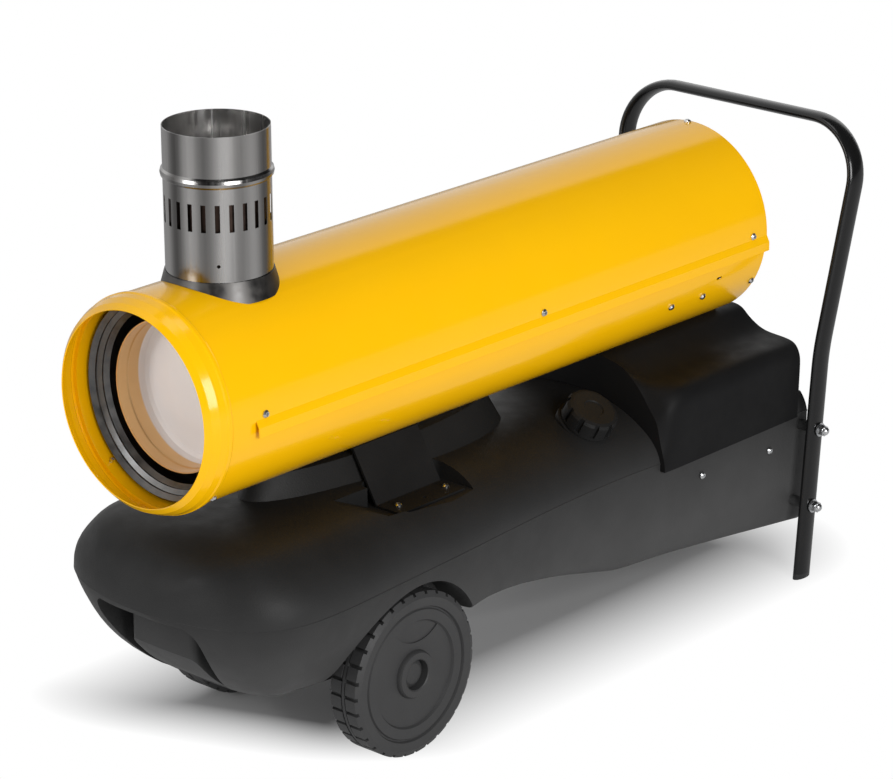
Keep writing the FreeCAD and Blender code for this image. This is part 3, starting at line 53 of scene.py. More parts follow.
class Nodes:
    """Short names for adding and linking shader nodes in one tree."""

    def __init__(self, tree):
        self.tree = tree

    def add(self, kind, **values):
        item = self.tree.nodes.new(kind)
        for name, value in values.items():
            setattr(item, name, value)
        return item

    def link(self, source, target):
        self.tree.links.new(source, target)

    def math(self, operation, first, second=0):
        item = self.add("ShaderNodeMath", operation=operation)
        for socket, value in zip(item.inputs, (first, second)):
            if isinstance(value, (int, float)):
                socket.default_value = value
            else:
                self.link(value, socket)
        return item.outputs["Value"]

    def coordinate(self, kind):
        return self.add("ShaderNodeTexCoord").outputs[kind]

    def split(self, source):
        """X, Y and Z of a vector."""
        item = self.add("ShaderNodeSeparateXYZ")
        self.link(source, item.inputs["Vector"])
        return item.outputs["X"], item.outputs["Y"], item.outputs["Z"]

    def range(self, source, low, high, from_low=0.0, from_high=1.0):
        """Moves a value from one range to another and holds it inside."""
        item = self.add("ShaderNodeMapRange")
        item.inputs["From Min"].default_value = from_low
        item.inputs["From Max"].default_value = from_high
        item.inputs["To Min"].default_value = low
        item.inputs["To Max"].default_value = high
        self.link(source, item.inputs["Value"])
        return item.outputs["Result"]

    def mix(self, factor, first, second):
        """Blend of two colours."""
        item = self.add("ShaderNodeMix", data_type="RGBA")
        self.link(factor, item.inputs[MIX_FACTOR])
        for place, value in ((MIX_FIRST, first), (MIX_SECOND, second)):
            if isinstance(value, tuple):
                item.inputs[place].default_value = (*value, 1)
            else:
                self.link(value, item.inputs[place])
        return item.outputs[MIX_RESULT]


def grey(value):
    return (value, value, value)


def new_group(name, inputs, output):
    """Empty shader group with float inputs and one float output."""
    tree = bpy.data.node_groups.new(name, "ShaderNodeTree")
    for label, value in inputs:
        socket = tree.interface.new_socket(label, in_out="INPUT", socket_type="NodeSocketFloat")
        socket.default_value = value
    tree.interface.new_socket(output, in_out="OUTPUT", socket_type="NodeSocketFloat")
    kit = Nodes(tree)
    return kit, kit.add("NodeGroupInput").outputs, kit.add("NodeGroupOutput").inputs


def make_mottle():
    """Soft cloudy variation for paint, plastic and metal."""
    kit, taken, given = new_group("mottle", [("Scale", 8.0), ("Low", 0.0), ("High", 1.0)], "Value")
    noise = kit.add("ShaderNodeTexNoise")
    noise.inputs["Detail"].default_value = 4
    kit.link(kit.coordinate("Object"), noise.inputs["Vector"])
    kit.link(taken["Scale"], noise.inputs["Scale"])
    spread = kit.add("ShaderNodeMapRange")
    spread.inputs["From Min"].default_value = NOISE_RANGE[0]
    spread.inputs["From Max"].default_value = NOISE_RANGE[1]
    kit.link(noise.outputs["Fac"], spread.inputs["Value"])
    kit.link(taken["Low"], spread.inputs["To Min"])
    kit.link(taken["High"], spread.inputs["To Max"])
    kit.link(spread.outputs["Result"], given["Value"])
    return kit.tree


def make_grain():
    """Fine moulded grain: a height from two sizes of noise."""
    kit, taken, given = new_group("grain", [("Scale", 900.0)], "Height")
    place = kit.coordinate("Object")
    fine = kit.add("ShaderNodeTexNoise")
    fine.inputs["Detail"].default_value = 2
    kit.link(place, fine.inputs["Vector"])
    kit.link(taken["Scale"], fine.inputs["Scale"])
    coarse = kit.add("ShaderNodeTexVoronoi", feature="SMOOTH_F1")
    kit.link(place, coarse.inputs["Vector"])
    kit.link(kit.math("MULTIPLY", taken["Scale"], 0.55), coarse.inputs["Scale"])
    kit.link(kit.math("ADD", fine.outputs["Fac"], coarse.outputs["Distance"]), given["Height"])
    return kit.tree


def make_streaks():
    """Noise with one scale across and another along the upright axis, so that it can draw streaks."""
    kit, taken, given = new_group("streaks", [("Across", 120.0), ("Along", 3.0)], "Value")
    joined = kit.add("ShaderNodeCombineXYZ")
    scales = (taken["Across"], taken["Across"], taken["Along"])
    for part, scale, socket in zip(kit.split(kit.coordinate("Object")), scales, joined.inputs):
        kit.link(kit.math("MULTIPLY", part, scale), socket)
    noise = kit.add("ShaderNodeTexNoise")
    noise.inputs["Scale"].default_value = 1
    noise.inputs["Detail"].default_value = 3
    kit.link(joined.outputs["Vector"], noise.inputs["Vector"])
    kit.link(noise.outputs["Fac"], given["Value"])
    return kit.tree


MOTTLE = make_mottle()
GRAIN = make_grain()
STREAKS = make_streaks()


def use_group(kit, tree, **values):
    """Adds a group with the given inputs and returns its output."""
    item = kit.add("ShaderNodeGroup", node_tree=tree)
    for name, value in values.items():
        item.inputs[name].default_value = value
    return item.outputs[0]


def finish_material(name, metallic=0.0, specular=0.5, coat=0.0):
    """New material, with its node kit and its shader."""
    material = bpy.data.materials.new(name)
    material.use_nodes = True
    shader = material.node_tree.nodes["Principled BSDF"]
    shader.inputs["Metallic"].default_value = metallic
    shader.inputs["Specular IOR Level"].default_value = specular
    shader.inputs["Coat Weight"].default_value = coat
    shader.inputs["Coat Roughness"].default_value = COAT_ROUGH
    return material, Nodes(material.node_tree), shader


def bump(kit, shader, height, strength, distance):
    item = kit.add("ShaderNodeBump")
    item.inputs["Strength"].default_value = strength
    item.inputs["Distance"].default_value = distance
    kit.link(height, item.inputs["Height"])
    kit.link(item.outputs["Normal"], shader.inputs["Normal"])


def enamel(name, dark, light, rough, coat, specular=0.5):
    """Sprayed paint with faint orange peel and a soft change of tone."""
    material, kit, shader = finish_material(name, specular=specular, coat=coat)
    tone = use_group(kit, MOTTLE, Scale=5.0)
    kit.link(kit.mix(tone, dark, light), shader.inputs["Base Color"])
    shine = use_group(kit, MOTTLE, Scale=30.0, Low=rough * 0.85, High=rough * 1.15)
    kit.link(shine, shader.inputs["Roughness"])
    bump(kit, shader, use_group(kit, GRAIN, Scale=260.0), strength=0.02, distance=0.0005)
    return material


def moulded(name, dark, light, rough, grain, strength, specular=0.5):
    """Moulded plastic, rubber or powder coat with fine grain."""
    material, kit, shader = finish_material(name, specular=specular)
    tone = use_group(kit, MOTTLE, Scale=14.0)
    kit.link(kit.mix(tone, dark, light), shader.inputs["Base Color"])
    shine = use_group(kit, MOTTLE, Scale=45.0, Low=rough - 0.05, High=rough + 0.06)
    kit.link(shine, shader.inputs["Roughness"])
    bump(kit, shader, use_group(kit, GRAIN, Scale=grain), strength=strength, distance=0.0006)
    return material


def cloudy_metal(name, dark, light, rough, scale):
    """Sheet or cast metal with a cloudy grain."""
    material, kit, shader = finish_material(name, metallic=1.0)
    grain = use_group(kit, STREAKS, Across=scale, Along=scale)
    cloud = use_group(kit, MOTTLE, Scale=12.0)
    blend = kit.math("ADD", kit.math("MULTIPLY", grain, 0.7), kit.math("MULTIPLY", cloud, 0.3))
    tone = kit.range(blend, 0, 1, 0.25, 0.75)
    kit.link(kit.mix(tone, dark, light), shader.inputs["Base Color"])
    kit.link(kit.range(grain, *rough, *NOISE_RANGE), shader.inputs["Roughness"])
    bump(kit, shader, grain, strength=0.05, distance=0.0004)
    return material


# Painted reflection on the flue sheet, light and dark bands: the turn at which a light one stands, and the
# number of each kind
REFLECTION_BAND_TURN = math.radians(-39.5)
NARROW_REFLECTION_BANDS = 10
BROAD_REFLECTION_BANDS = 3
# The sheet's normal times its way from the middle, in metres, where it faces fully inwards
INWARD = -0.03


def rolled_stainless():
    """Flue sheet: light and dark bands standing around the pipe, which are a painted reflection, with fine
    streaks and a paler inside.
    """
    material, kit, shader = finish_material("flue_stainless", metallic=1.0)
    corners = [Vector(corner) for corner in nodes["flue_pipe"].bound_box]
    middle = sum(corners, Vector()) / len(corners)
    x, y, _ = kit.split(kit.coordinate("Object"))
    right = kit.math("SUBTRACT", x, middle.x)
    back = kit.math("SUBTRACT", y, middle.y)
    turn = kit.math("SUBTRACT", kit.math("ARCTAN2", back, right), REFLECTION_BAND_TURN)
    # Painted reflection: narrow and broad light and dark bands at fixed turns round the pipe
    narrow_reflection = kit.range(kit.math("COSINE", kit.math("MULTIPLY", turn, NARROW_REFLECTION_BANDS)), 0, 1, -1, 1)
    broad_reflection = kit.range(kit.math("COSINE", kit.math("MULTIPLY", turn, BROAD_REFLECTION_BANDS)), 0, 1, -1, 1)
    streak = use_group(kit, STREAKS, Across=260.0, Along=4.0)
    bands = kit.math("ADD", kit.math("MULTIPLY", narrow_reflection, 0.55), kit.math("MULTIPLY", broad_reflection, 0.25))
    tone = kit.math("ADD", bands, kit.math("MULTIPLY", streak, 0.2))
    outside = kit.mix(tone, (0.065, 0.062, 0.060), (0.52, 0.51, 0.50))
    facing_x, facing_y, _ = kit.split(kit.coordinate("Normal"))
    outward_x = kit.math("MULTIPLY", facing_x, right)
    outward = kit.math("ADD", outward_x, kit.math("MULTIPLY", facing_y, back))
    inside = kit.range(outward, 1, 0, INWARD, 0.0)
    kit.link(kit.mix(inside, outside, (0.72, 0.71, 0.70)), shader.inputs["Base Color"])
    kit.link(kit.range(streak, 0.14, 0.28, *NOISE_RANGE), shader.inputs["Roughness"])
    bump(kit, shader, streak, strength=0.04, distance=0.0003)
    return material


def plated(name, dark, light, rough):
    """Small plated hardware with a slightly blotchy shine."""
    material, kit, shader = finish_material(name, metallic=1.0)
    blotch = use_group(kit, MOTTLE, Scale=160.0)
    kit.link(kit.mix(blotch, dark, light), shader.inputs["Base Color"])
    shine = use_group(kit, MOTTLE, Scale=220.0, Low=rough * 0.7, High=rough * 1.3)
    kit.link(shine, shader.inputs["Roughness"])
    return material


# The drum's colours are painted reflections: tan, of the yellow outlet ring, in front of its end disc and
# near white, of the room, from there on; the change lies between these places
YELLOW_REFLECTION_END_Y = -0.4845
WHITE_REFLECTION_START_Y = -0.4825


def drum_finish():
    """Drum: tan in front of a light end disc; both colours are painted reflections, of the yellow outlet ring
    and of the white room.
    """
    material, kit, shader = finish_material("drum_steel")
    _, y, _ = kit.split(kit.coordinate("Object"))
    disc = kit.range(y, 0, 1, YELLOW_REFLECTION_END_Y, WHITE_REFLECTION_START_Y)
    cloud = use_group(kit, MOTTLE, Scale=9.0)
    # Painted reflections: tan of the yellow outlet ring in front of the end disc, near white of the room on
    # the disc
    yellow_reflection = kit.mix(cloud, (0.70, 0.43, 0.18), (0.82, 0.55, 0.27))
    white_reflection = kit.mix(cloud, (0.84, 0.83, 0.84), (0.90, 0.89, 0.90))
    kit.link(kit.mix(disc, yellow_reflection, white_reflection), shader.inputs["Base Color"])
    kit.link(kit.range(disc, 0.55, 0.0), shader.inputs["Metallic"])
    kit.link(kit.range(disc, 0.34, 0.6), shader.inputs["Roughness"])
    bump(kit, shader, use_group(kit, STREAKS, Across=60.0, Along=60.0), strength=0.04, distance=0.0005)
    return material


# Painted shade: the tank's base colour darkens from that of the bowl to that of the top between these heights
SHADE_START_Z = 0.13
SHADE_FULL_Z = 0.285


def tank_finish():
    """Grained plastic of the tank, with painted shade that makes it darker over the top than down the bowl.
    """
    material, kit, shader = finish_material("tank_plastic", specular=0.15)
    _, _, z = kit.split(kit.coordinate("Object"))
    # Painted shade: darker base colour higher up the tank
    upper = kit.range(z, 0, 1, SHADE_START_Z, SHADE_FULL_Z)
    tone = use_group(kit, MOTTLE, Scale=14.0)
    low = kit.mix(tone, grey(0.054), grey(0.061))
    high = kit.mix(tone, grey(0.011), grey(0.0135))
    kit.link(kit.mix(upper, low, high), shader.inputs["Base Color"])
    kit.link(use_group(kit, MOTTLE, Scale=45.0, Low=0.44, High=0.54), shader.inputs["Roughness"])
    bump(kit, shader, use_group(kit, GRAIN, Scale=1100.0), strength=0.22, distance=0.0006)
    return material


# Finishes
casing_paint = enamel(
    "casing_paint", dark=(0.88, 0.46, 0.0008), light=(0.91, 0.48, 0.001),
    rough=0.15, coat=0.04, specular=0.32)
stainless = rolled_stainless()
galvanised = cloudy_metal(
    "galvanised_sheet", dark=(0.08, 0.083, 0.085), light=(0.19, 0.193, 0.195), rough=(0.36, 0.52), scale=90.0)
collar_steel = cloudy_metal(
    "collar_steel", dark=(0.05, 0.05, 0.05), light=(0.12, 0.115, 0.11), rough=(0.34, 0.5), scale=80.0)
drum_steel = drum_finish()
# Dark sleeve colour: painted shade seen through the flue slots
sleeve_shade_steel = cloudy_metal(
    "sleeve_shade_steel", dark=(0.030, 0.020, 0.016), light=(0.070, 0.048, 0.040), rough=(0.4, 0.55), scale=80.0)
tank_plastic = tank_finish()
wheel_plastic = moulded(
    "wheel_plastic", dark=(0.035, 0.035, 0.0355), light=(0.041, 0.041, 0.0415),
    rough=0.5, grain=1300.0, strength=0.18, specular=0.3)
cover_plastic = moulded(
    "cover_plastic", dark=(0.008, 0.008, 0.0083), light=(0.010, 0.010, 0.0103),
    rough=0.46, grain=1500.0, strength=0.06, specular=0.06)
powder_coat = moulded(
    "powder_coat", dark=(0.010, 0.010, 0.0103), light=(0.013, 0.013, 0.0133),
    rough=0.55, grain=1700.0, strength=0.2, specular=0.10)
handle_paint = enamel(
    "handle_paint", dark=(0.005, 0.005, 0.0052), light=(0.007, 0.007, 0.0072),
    rough=0.24, coat=0.2, specular=0.3)
zinc = plated("zinc_plate", dark=(0.52, 0.53, 0.54), light=(0.78, 0.79, 0.80), rough=0.24)
black_gloss = moulded(
    "gloss_plastic", dark=(0.012, 0.012, 0.0125), light=(0.016, 0.016, 0.0165),
    rough=0.25, grain=1500.0, strength=0.05)
red_gloss = moulded(
    "red_plastic", dark=(0.42, 0.012, 0.010), light=(0.50, 0.016, 0.012),
    rough=0.25, grain=1500.0, strength=0.05)
soft_rubber = moulded(
    "soft_rubber", dark=grey(0.016), light=grey(0.022), rough=0.6, grain=900.0, strength=0.2)
motor_paint = enamel(
    "motor_paint", dark=(0.055, 0.06, 0.065), light=(0.07, 0.075, 0.08), rough=0.38, coat=0.0)
cast_aluminium = cloudy_metal(
    "cast_aluminium", dark=(0.48, 0.49, 0.50), light=(0.64, 0.65, 0.66), rough=(0.35, 0.5), scale=60.0)
brass = plated("turned_brass", dark=(0.55, 0.40, 0.16), light=(0.68, 0.51, 0.22), rough=0.3)
copper = plated("copper_pipe", dark=(0.55, 0.27, 0.14), light=(0.70, 0.36, 0.20), rough=0.28)
ceramic = moulded(
    "glazed_ceramic", dark=(0.74, 0.73, 0.69), light=(0.80, 0.79, 0.75),
    rough=0.2, grain=700.0, strength=0.05)
filter_plastic = moulded(
    "filter_plastic", dark=(0.55, 0.55, 0.50), light=(0.63, 0.63, 0.58),
    rough=0.3, grain=900.0, strength=0.05)

FINISHES = {
    casing_paint: ["upper_shell", "lower_shell", "outlet_ring"],
    stainless: ["flue_pipe"],
    collar_steel: ["flue_collar"],
    galvanised: ["outlet_cone", "inner_liner", "liner_spacers", "drum_supports", "chamber_supports",
                 "drum_rear_plate", "motor_bracket", "combustion_chamber", "burner_tube", "flame_disc"],
    drum_steel: ["exchanger_drum"],
    tank_plastic: ["fuel_tank", "fuel_cap", "filler_neck"],
    wheel_plastic: ["wheel_right", "wheel_left", "axle_caps"],
    cover_plastic: ["rear_cover"],
    powder_coat: ["front_support_right", "front_support_left", "axle_straps", "rear_grille"],
    handle_paint: ["handle"],
    zinc: ["casing_screws", "tank_screws", "support_screws", "handle_bolts", "handle_washers", "handle_nuts",
           "axle", "axle_washers", "motor_shaft", "flame_sensor", "drain_plug"],
    black_gloss: ["switch_bezel", "power_switch", "reset_bezel", "thermostat_socket", "cable_gland",
                  "foot_plugs", "control_box", "ignition_transformer", "filler_strainer"],
    red_gloss: ["reset_button"],
    soft_rubber: ["suction_hose", "cap_gasket"],
    motor_paint: ["motor"],
    cast_aluminium: ["fan", "fuel_pump", "solenoid_valve"],
    brass: ["spray_nozzle", "nozzle_holder"],
    copper: ["nozzle_pipe"],
    ceramic: ["ignition_electrodes"],
    filter_plastic: ["fuel_filter"],
}

for material, names in FINISHES.items():
    for name in names:
        nodes[name].data.materials.clear()
        nodes[name].data.materials.append(material)

# Modelling helpers; sizes are in millimetres until they reach a mesh
MM = 0.001
# Points closer than this, in metres, become one
MERGE_GAP = 0.000001
# Ends of an upright edge differ in height by more than this, in metres
UPRIGHT_LEAST = 0.0001
EDGE_STEPS = 6
FINE_SIDES = 96
# Edges sharper than these angles, in degrees, stay sharp
MOULDED_ANGLE = 32
TUBE_ANGLE = 40
# Cutting pegs stand past what they cut by this
CUT_CLEAR = 5


def spline_point(poles, share):
    """Point of an even cubic curve that starts and ends on its first and last guide points."""
    spans = len(poles) - 3
    knots = [0] * 3 + list(range(spans + 1)) + [spans] * 3
    place = share * spans
    span = min(int(place), spans - 1)
    work = list(poles[span:span + 4])
    for level in (1, 2, 3):
        for index in range(3, level - 1, -1):
            low = knots[span + index]
            high = knots[span + index + 4 - level]
            work[index] = work[index - 1].lerp(work[index], (place - low) / (high - low))
    return work[3]


def edge_shares(count):
    """Shares from 0 to 1 that crowd together at both ends."""
    return [(1 - math.cos(math.pi * index / count)) / 2 for index in range(count + 1)]


def wrapped_skin(name, rings):
    """Closed skin through rings of points: a flat grid wrapped round them, with both ends filled."""
    bpy.ops.object.select_all(action="DESELECT")
    columns = len(rings[0])
    bpy.ops.mesh.primitive_grid_add(x_subdivisions=columns, y_subdivisions=len(rings) - 1, size=1)
    piece = bpy.context.object
    piece.name = name
    for index, vertex in enumerate(piece.data.vertices):
        row, column = divmod(index, columns + 1)
        vertex.co = rings[row][column % columns] * MM
    bpy.ops.object.mode_set(mode="EDIT")
    bpy.ops.mesh.select_all(action="SELECT")
    bpy.ops.mesh.remove_doubles(threshold=MERGE_GAP)
    bpy.ops.mesh.fill_holes(sides=0)
    bpy.ops.mesh.normals_make_consistent(inside=False)
    bpy.ops.object.mode_set(mode="OBJECT")
    return piece


def block(name, low, high, edge=0):
    """Block between two corners, with its upright edges rounded where an edge radius is given."""
    bpy.ops.object.select_all(action="DESELECT")
    low = Vector(low) * MM
    high = Vector(high) * MM
    bpy.ops.mesh.primitive_cube_add(size=1, location=(low + high) / 2, scale=high - low)
    bpy.ops.object.transform_apply(location=True, rotation=True, scale=True)
    piece = bpy.context.object
    piece.name = name
    if edge:
        bpy.ops.object.mode_set(mode="EDIT")
        bpy.ops.mesh.select_mode(type="EDGE")
        bpy.ops.mesh.select_all(action="DESELECT")
        bpy.ops.object.mode_set(mode="OBJECT")
        for line in piece.data.edges:
            ends = [piece.data.vertices[index].co for index in line.vertices]
            line.select = abs(ends[0].z - ends[1].z) > UPRIGHT_LEAST
        bpy.ops.object.mode_set(mode="EDIT")
        bpy.ops.mesh.bevel(offset=edge * MM, segments=EDGE_STEPS)
        bpy.ops.object.mode_set(mode="OBJECT")
    return piece


def peg(name, radius, start, end, sides=48):
    """Round peg between two points."""
    bpy.ops.object.select_all(action="DESELECT")
    start = Vector(start) * MM
    end = Vector(end) * MM
    way = end - start
    turn = way.to_track_quat("Z", "Y").to_euler()
    bpy.ops.mesh.primitive_cylinder_add(
        vertices=sides, radius=radius * MM, depth=way.length, location=(start + end) / 2, rotation=turn)
    bpy.ops.object.transform_apply(location=True, rotation=True, scale=True)
    piece = bpy.context.object
    piece.name = name
    return piece


def carve(piece, tool, operation="DIFFERENCE"):
    """Cuts a tool from a piece, joins it or keeps what they share, and drops the tool."""
    change = piece.modifiers.new("carve", "BOOLEAN")
    change.operation = operation
    change.solver = "EXACT"
    change.object = tool
    bpy.ops.object.select_all(action="DESELECT")
    bpy.context.view_layer.objects.active = piece
    bpy.ops.object.modifier_apply(modifier=change.name)
    bpy.data.objects.remove(tool)


def settle(piece, material, slot, angle, *replaced, body="chassis"):
    """Finish, smooth faces and body of a modelled piece, and hides the nodes that it replaces; the slot is
    not used.
    """
    bpy.ops.object.select_all(action="DESELECT")
    piece.select_set(True)
    bpy.context.view_layer.objects.active = piece
    bpy.ops.object.shade_smooth_by_angle(angle=math.radians(angle))
    piece.data.materials.clear()
    piece.data.materials.append(material)
    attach(piece, body)
    if replaced:
        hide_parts(*replaced)


# Moulded tank with its full nose, bowl and front recess
NOSE_Y = -582.5
# The first ring stands behind the tip by this, because the tip has no size
TIP_GAP = 0.2
TANK_REAR_Y = 464
PARTING_Z = 229.5
PARTING_DROP = 13
PARTING_POWER = 4
PARTING_RIDGE = 0.7
RISE_FRONT = 79.5
RISE_REAR = 68.5
# Rows of place along the tank and half width at the parting line behind the nose
TANK_WIDTH = [
    (-424, 177.5), (-384, 175.5), (-334, 172), (-284, 168.5), (-234, 165), (-190, 161.5),
    (-135, 156.5), (-13, 147), (100, 143.5), (187, 146), (288, 147), (464, 147.5),
]
# Rows of place along the tank and depth below the parting line behind the nose
TANK_DEPTH = [
    (-450, 126.5), (-410, 131), (-370, 135), (-320, 141), (-270, 138), (-240, 118), (-215, 96), (-190, 83),
    (-160, 79.5), (-110, 83), (-60, 91.5), (-13, 101), (45, 115.5), (100, 128), (187, 133), (288, 142),
    (380, 150.5), (464, 157.5),
]
# Each nose curve has the place where it starts, the power of the way along and the root of what is left
WIDTH_NOSE = (-424, 3.6, 0.52)
RISE_NOSE = (-471, 3.3, 0.5)
DEPTH_NOSE = (-450, 1.88, 1.02)
# The top changes from its front shape to its rear shape between these places, and so does the bowl
TOP_CHANGE = (-330, 120)
BOWL_CHANGE = (-300, -180)
# Guide points of the half sections, across as a share of the width and up as a share of the height
TOP_FRONT = [(1, 0), (1.013, 0.3), (0.793, 0.75), (0.68, 1)]
TOP_REAR = [(1, 0), (0.98, 0.28), (0.76, 0.68), (0.36, 1)]
BOWL_FRONT = [(1, 0), (0.95, 0.26), (0.836, 0.58), (0.672, 0.913), (0.345, 1)]
BOWL_REAR = [(1, 0), (0.992, 0.4), (0.985, 0.86), (0.97, 1), (0.6, 1)]
# Right hand edge of the front recess, across and up
RECESS_SIDE = [(66, 222), (77, 217), (81.5, 204), (80, 186), (76, 169), (70, 149), (58, 122), (45, 95)]
RECESS_POINTS = 24
RECESS_FRONT_Y = -600
RECESS_REAR_Y = -482
RECESS_STEP = 3.5
# Skins and blocks that fill parts of the recess run into the tank behind it
FILL_SKIN_REAR_Y = RECESS_REAR_Y + 12
FILL_BLOCK_REAR_Y = RECESS_REAR_Y + 10
# Step at the foot of the recess
STEP_FRONT_Y = NOSE_Y + 28
STEP_HALF_W = 85
STEP_LOW_Z = 60
STEP_TOP_Z = 128
# Block that stands in the recess
UPRIGHT_HALF_W = 52
UPRIGHT_FRONT_Y = -541
UPRIGHT_LOW_Z = 90
UPRIGHT_TOP_Z = 226
UPRIGHT_EDGE = 9
UPRIGHT_SKIN_FRONT_Y = NOSE_Y + 20
# Rings of points in the long skins
TANK_RINGS = 110
FILL_RINGS = 30
# Wheel arches and the flat for the axle straps
WHEEL_Y = -292
WHEEL_R = 100
ARCH_R = 113
ARCH_IN_X = 104
STRAP_FLAT_HALF_W = 110
STRAP_FLAT_HALF_L = 40
STRAP_FLAT_LOW_Z = 40
STRAP_FLAT_Z = 80
# Rear deck, with places that are past the tank
DECK_Y = 172
DECK_Z = 240
WIDE = 220
PAST_REAR_Y = 500
PAST_TOP_Z = 400
# Rings of the oval saddle: half width, half length and height
SADDLE_RINGS = [(77, 232, 262), (77, 232, 276), (45, 196, 336)]
SADDLE_Y = -197
# Seat of the filler neck, which leans to the right by an angle in degrees
FILLER_SPOT = Vector((83, 96, 284))
FILLER_LEAN = 31
FILLER_BOSS_R = 37
FILLER_BOSS_DEEP = 16
FILLER_BOSS_HIGH = 1.5
FILLER_BOSS_SIDES = 72
FILLER_HOLE_R = 24.2
FILLER_HOLE_DEEP = 14
FILLER_HOLE_HIGH = 20
# Pockets for the bracket feet, with a ramp in front of each
BRACKET_Z = 281
POCKET_X = (60, 132)
POCKET_FRONT_Y = -284
POCKET_REAR_Y = -155
POCKET_TOP_Z = 361
POCKET_EDGE = 12
RAMP_X = (76, 130)
RAMP_FRONT_Y = -342
RAMP_REAR_Y = POCKET_FRONT_Y + 6
RAMP_TOP_Z = 309
RAMP_ROOM_Z = RAMP_TOP_Z + 40
# Bosses beside the legs of the handle: place along the tank and height
LEG_BOSSES = [(451.8, 200), (441.7, 98)]
LEG_BOSS_R = 7
LEG_BOSS_X = (138, 163)


def smooth_row(rows, y):
    """Curve through rows of place and size without corners."""
    if y <= rows[0][0]:
        return rows[0][1]
    index = max(k for k in range(len(rows) - 1) if rows[k][0] <= y)
    (x1, v1), (x2, v2) = rows[index], rows[index + 1]
    x0, v0 = rows[max(index - 1, 0)]
    x3, v3 = rows[min(index + 2, len(rows) - 1)]
    step = x2 - x1
    share = (y - x1) / step
    slope1 = (v2 - v0) / (x2 - x0) * step if index else 0
    slope2 = (v3 - v1) / (x3 - x1) * step
    cube = share ** 3
    square = share ** 2
    part1 = v1 * (2 * cube - 3 * square + 1) + slope1 * (cube - 2 * square + share)
    return part1 + v2 * (3 * square - 2 * cube) + slope2 * (cube - square)


def ease(y, start, end):
    """Share from 0 to 1 between two places, level at both."""
    step = max(0.0, min(1.0, (y - start) / (end - start)))
    return step * step * (3 - 2 * step)


def nose_share(y, curve):
    """Share of the full size that the rounded nose reaches at y."""
    start, power, root = curve
    if y >= start:
        return 1.0
    share = (start - y) / (start - NOSE_Y)
    return max(1 - share ** power, 0) ** root


def section_half(front, rear, share, half_w, height, y, middle):
    """Guide points over one half of a section, from the right side to the left."""
    pairs = zip(front, rear)
    mixed = [(x0 + (x1 - x0) * share, z0 + (z1 - z0) * share) for (x0, z0), (x1, z1) in pairs]
    right = [Vector((half_w * x, y, middle + height * z)) for x, z in mixed]
    left = [Vector((-point.x, point.y, point.z)) for point in reversed(right)]
    return right + [Vector((0, y, middle + height))] + left


def tank_ring(y, grow, count=40):
    """One cross section of the tank: over the top to the left, then back under the bowl."""
    top_change = ease(y, *TOP_CHANGE)
    full_rise = RISE_REAR + (RISE_FRONT - RISE_REAR) * (1 - top_change)
    half_w = smooth_row(TANK_WIDTH, y) * nose_share(y, WIDTH_NOSE) + grow
    rise = full_rise * nose_share(y, RISE_NOSE) + grow
    depth = smooth_row(TANK_DEPTH, y) * nose_share(y, DEPTH_NOSE) + grow
    run = (y - NOSE_Y) / (TANK_REAR_Y - NOSE_Y)
    middle = PARTING_Z - PARTING_DROP * run ** PARTING_POWER
    top = section_half(TOP_FRONT, TOP_REAR, top_change, half_w, rise, y, middle)
    bowl = section_half(BOWL_FRONT, BOWL_REAR, ease(y, *BOWL_CHANGE), half_w, -depth, y, middle)
    over = [spline_point(top, share) for share in edge_shares(count)]
    under = [spline_point(bowl, share) for share in edge_shares(count)]
    over[0].x += PARTING_RIDGE
    over[-1].x -= PARTING_RIDGE
    return over + under[-2:0:-1]


def tank_skin(name, grow, front, rear, count):
    """Closed length of the tank between two places, grown or shrunk all round."""
    places = [front + (rear - front) * share for share in edge_shares(count)]
    return wrapped_skin(name, [tank_ring(y, grow) for y in places])


def tank_saddle():
    """Oval rise of the tank below the casing."""
    turns = [math.tau * index / FINE_SIDES for index in range(FINE_SIDES)]
    rings = []
    for half_w, half_l, z in SADDLE_RINGS:
        rings.append([Vector((half_w * math.cos(a), half_l * math.sin(a) + SADDLE_Y, z)) for a in turns])
    return wrapped_skin("saddle", rings)


def recess_scoop():
    """Hollow of the front recess."""
    guide = [Vector((x, 0, z)) for x, z in RECESS_SIDE]
    right = [spline_point(guide, index / RECESS_POINTS) for index in range(RECESS_POINTS + 1)]
    outline = right + [Vector((-point.x, 0, point.z)) for point in reversed(right)]
    rings = [[point + Vector((0, y, 0)) for point in outline] for y in (RECESS_FRONT_Y, RECESS_REAR_Y)]
    return wrapped_skin("scoop", rings)


def pocket_ramp(side):
    """Slope from the tank's top down to the floor of a bracket pocket."""
    inner, outer = RAMP_X
    rings = []
    for y, low in ((RAMP_FRONT_Y, RAMP_TOP_Z), (RAMP_REAR_Y, BRACKET_Z)):
        corners = ((inner, low), (outer, low), (outer, RAMP_ROOM_Z), (inner, RAMP_ROOM_Z))
        rings.append([Vector((x * side, y, z)) for x, z in corners])
    return wrapped_skin("ramp", rings)


def add_filler_seat(tank):
    """Round boss with the hole for the filler neck."""
    lean = math.radians(FILLER_LEAN)
    way = Vector((math.sin(lean), 0, math.cos(lean)))
    boss_low = FILLER_SPOT - way * FILLER_BOSS_DEEP
    boss_high = FILLER_SPOT + way * FILLER_BOSS_HIGH
    carve(tank, peg("filler_boss", FILLER_BOSS_R, boss_low, boss_high, FILLER_BOSS_SIDES), "UNION")
    hole_low = FILLER_SPOT - way * FILLER_HOLE_DEEP
    hole_high = FILLER_SPOT + way * FILLER_HOLE_HIGH
    carve(tank, peg("filler_hole", FILLER_HOLE_R, hole_low, hole_high))


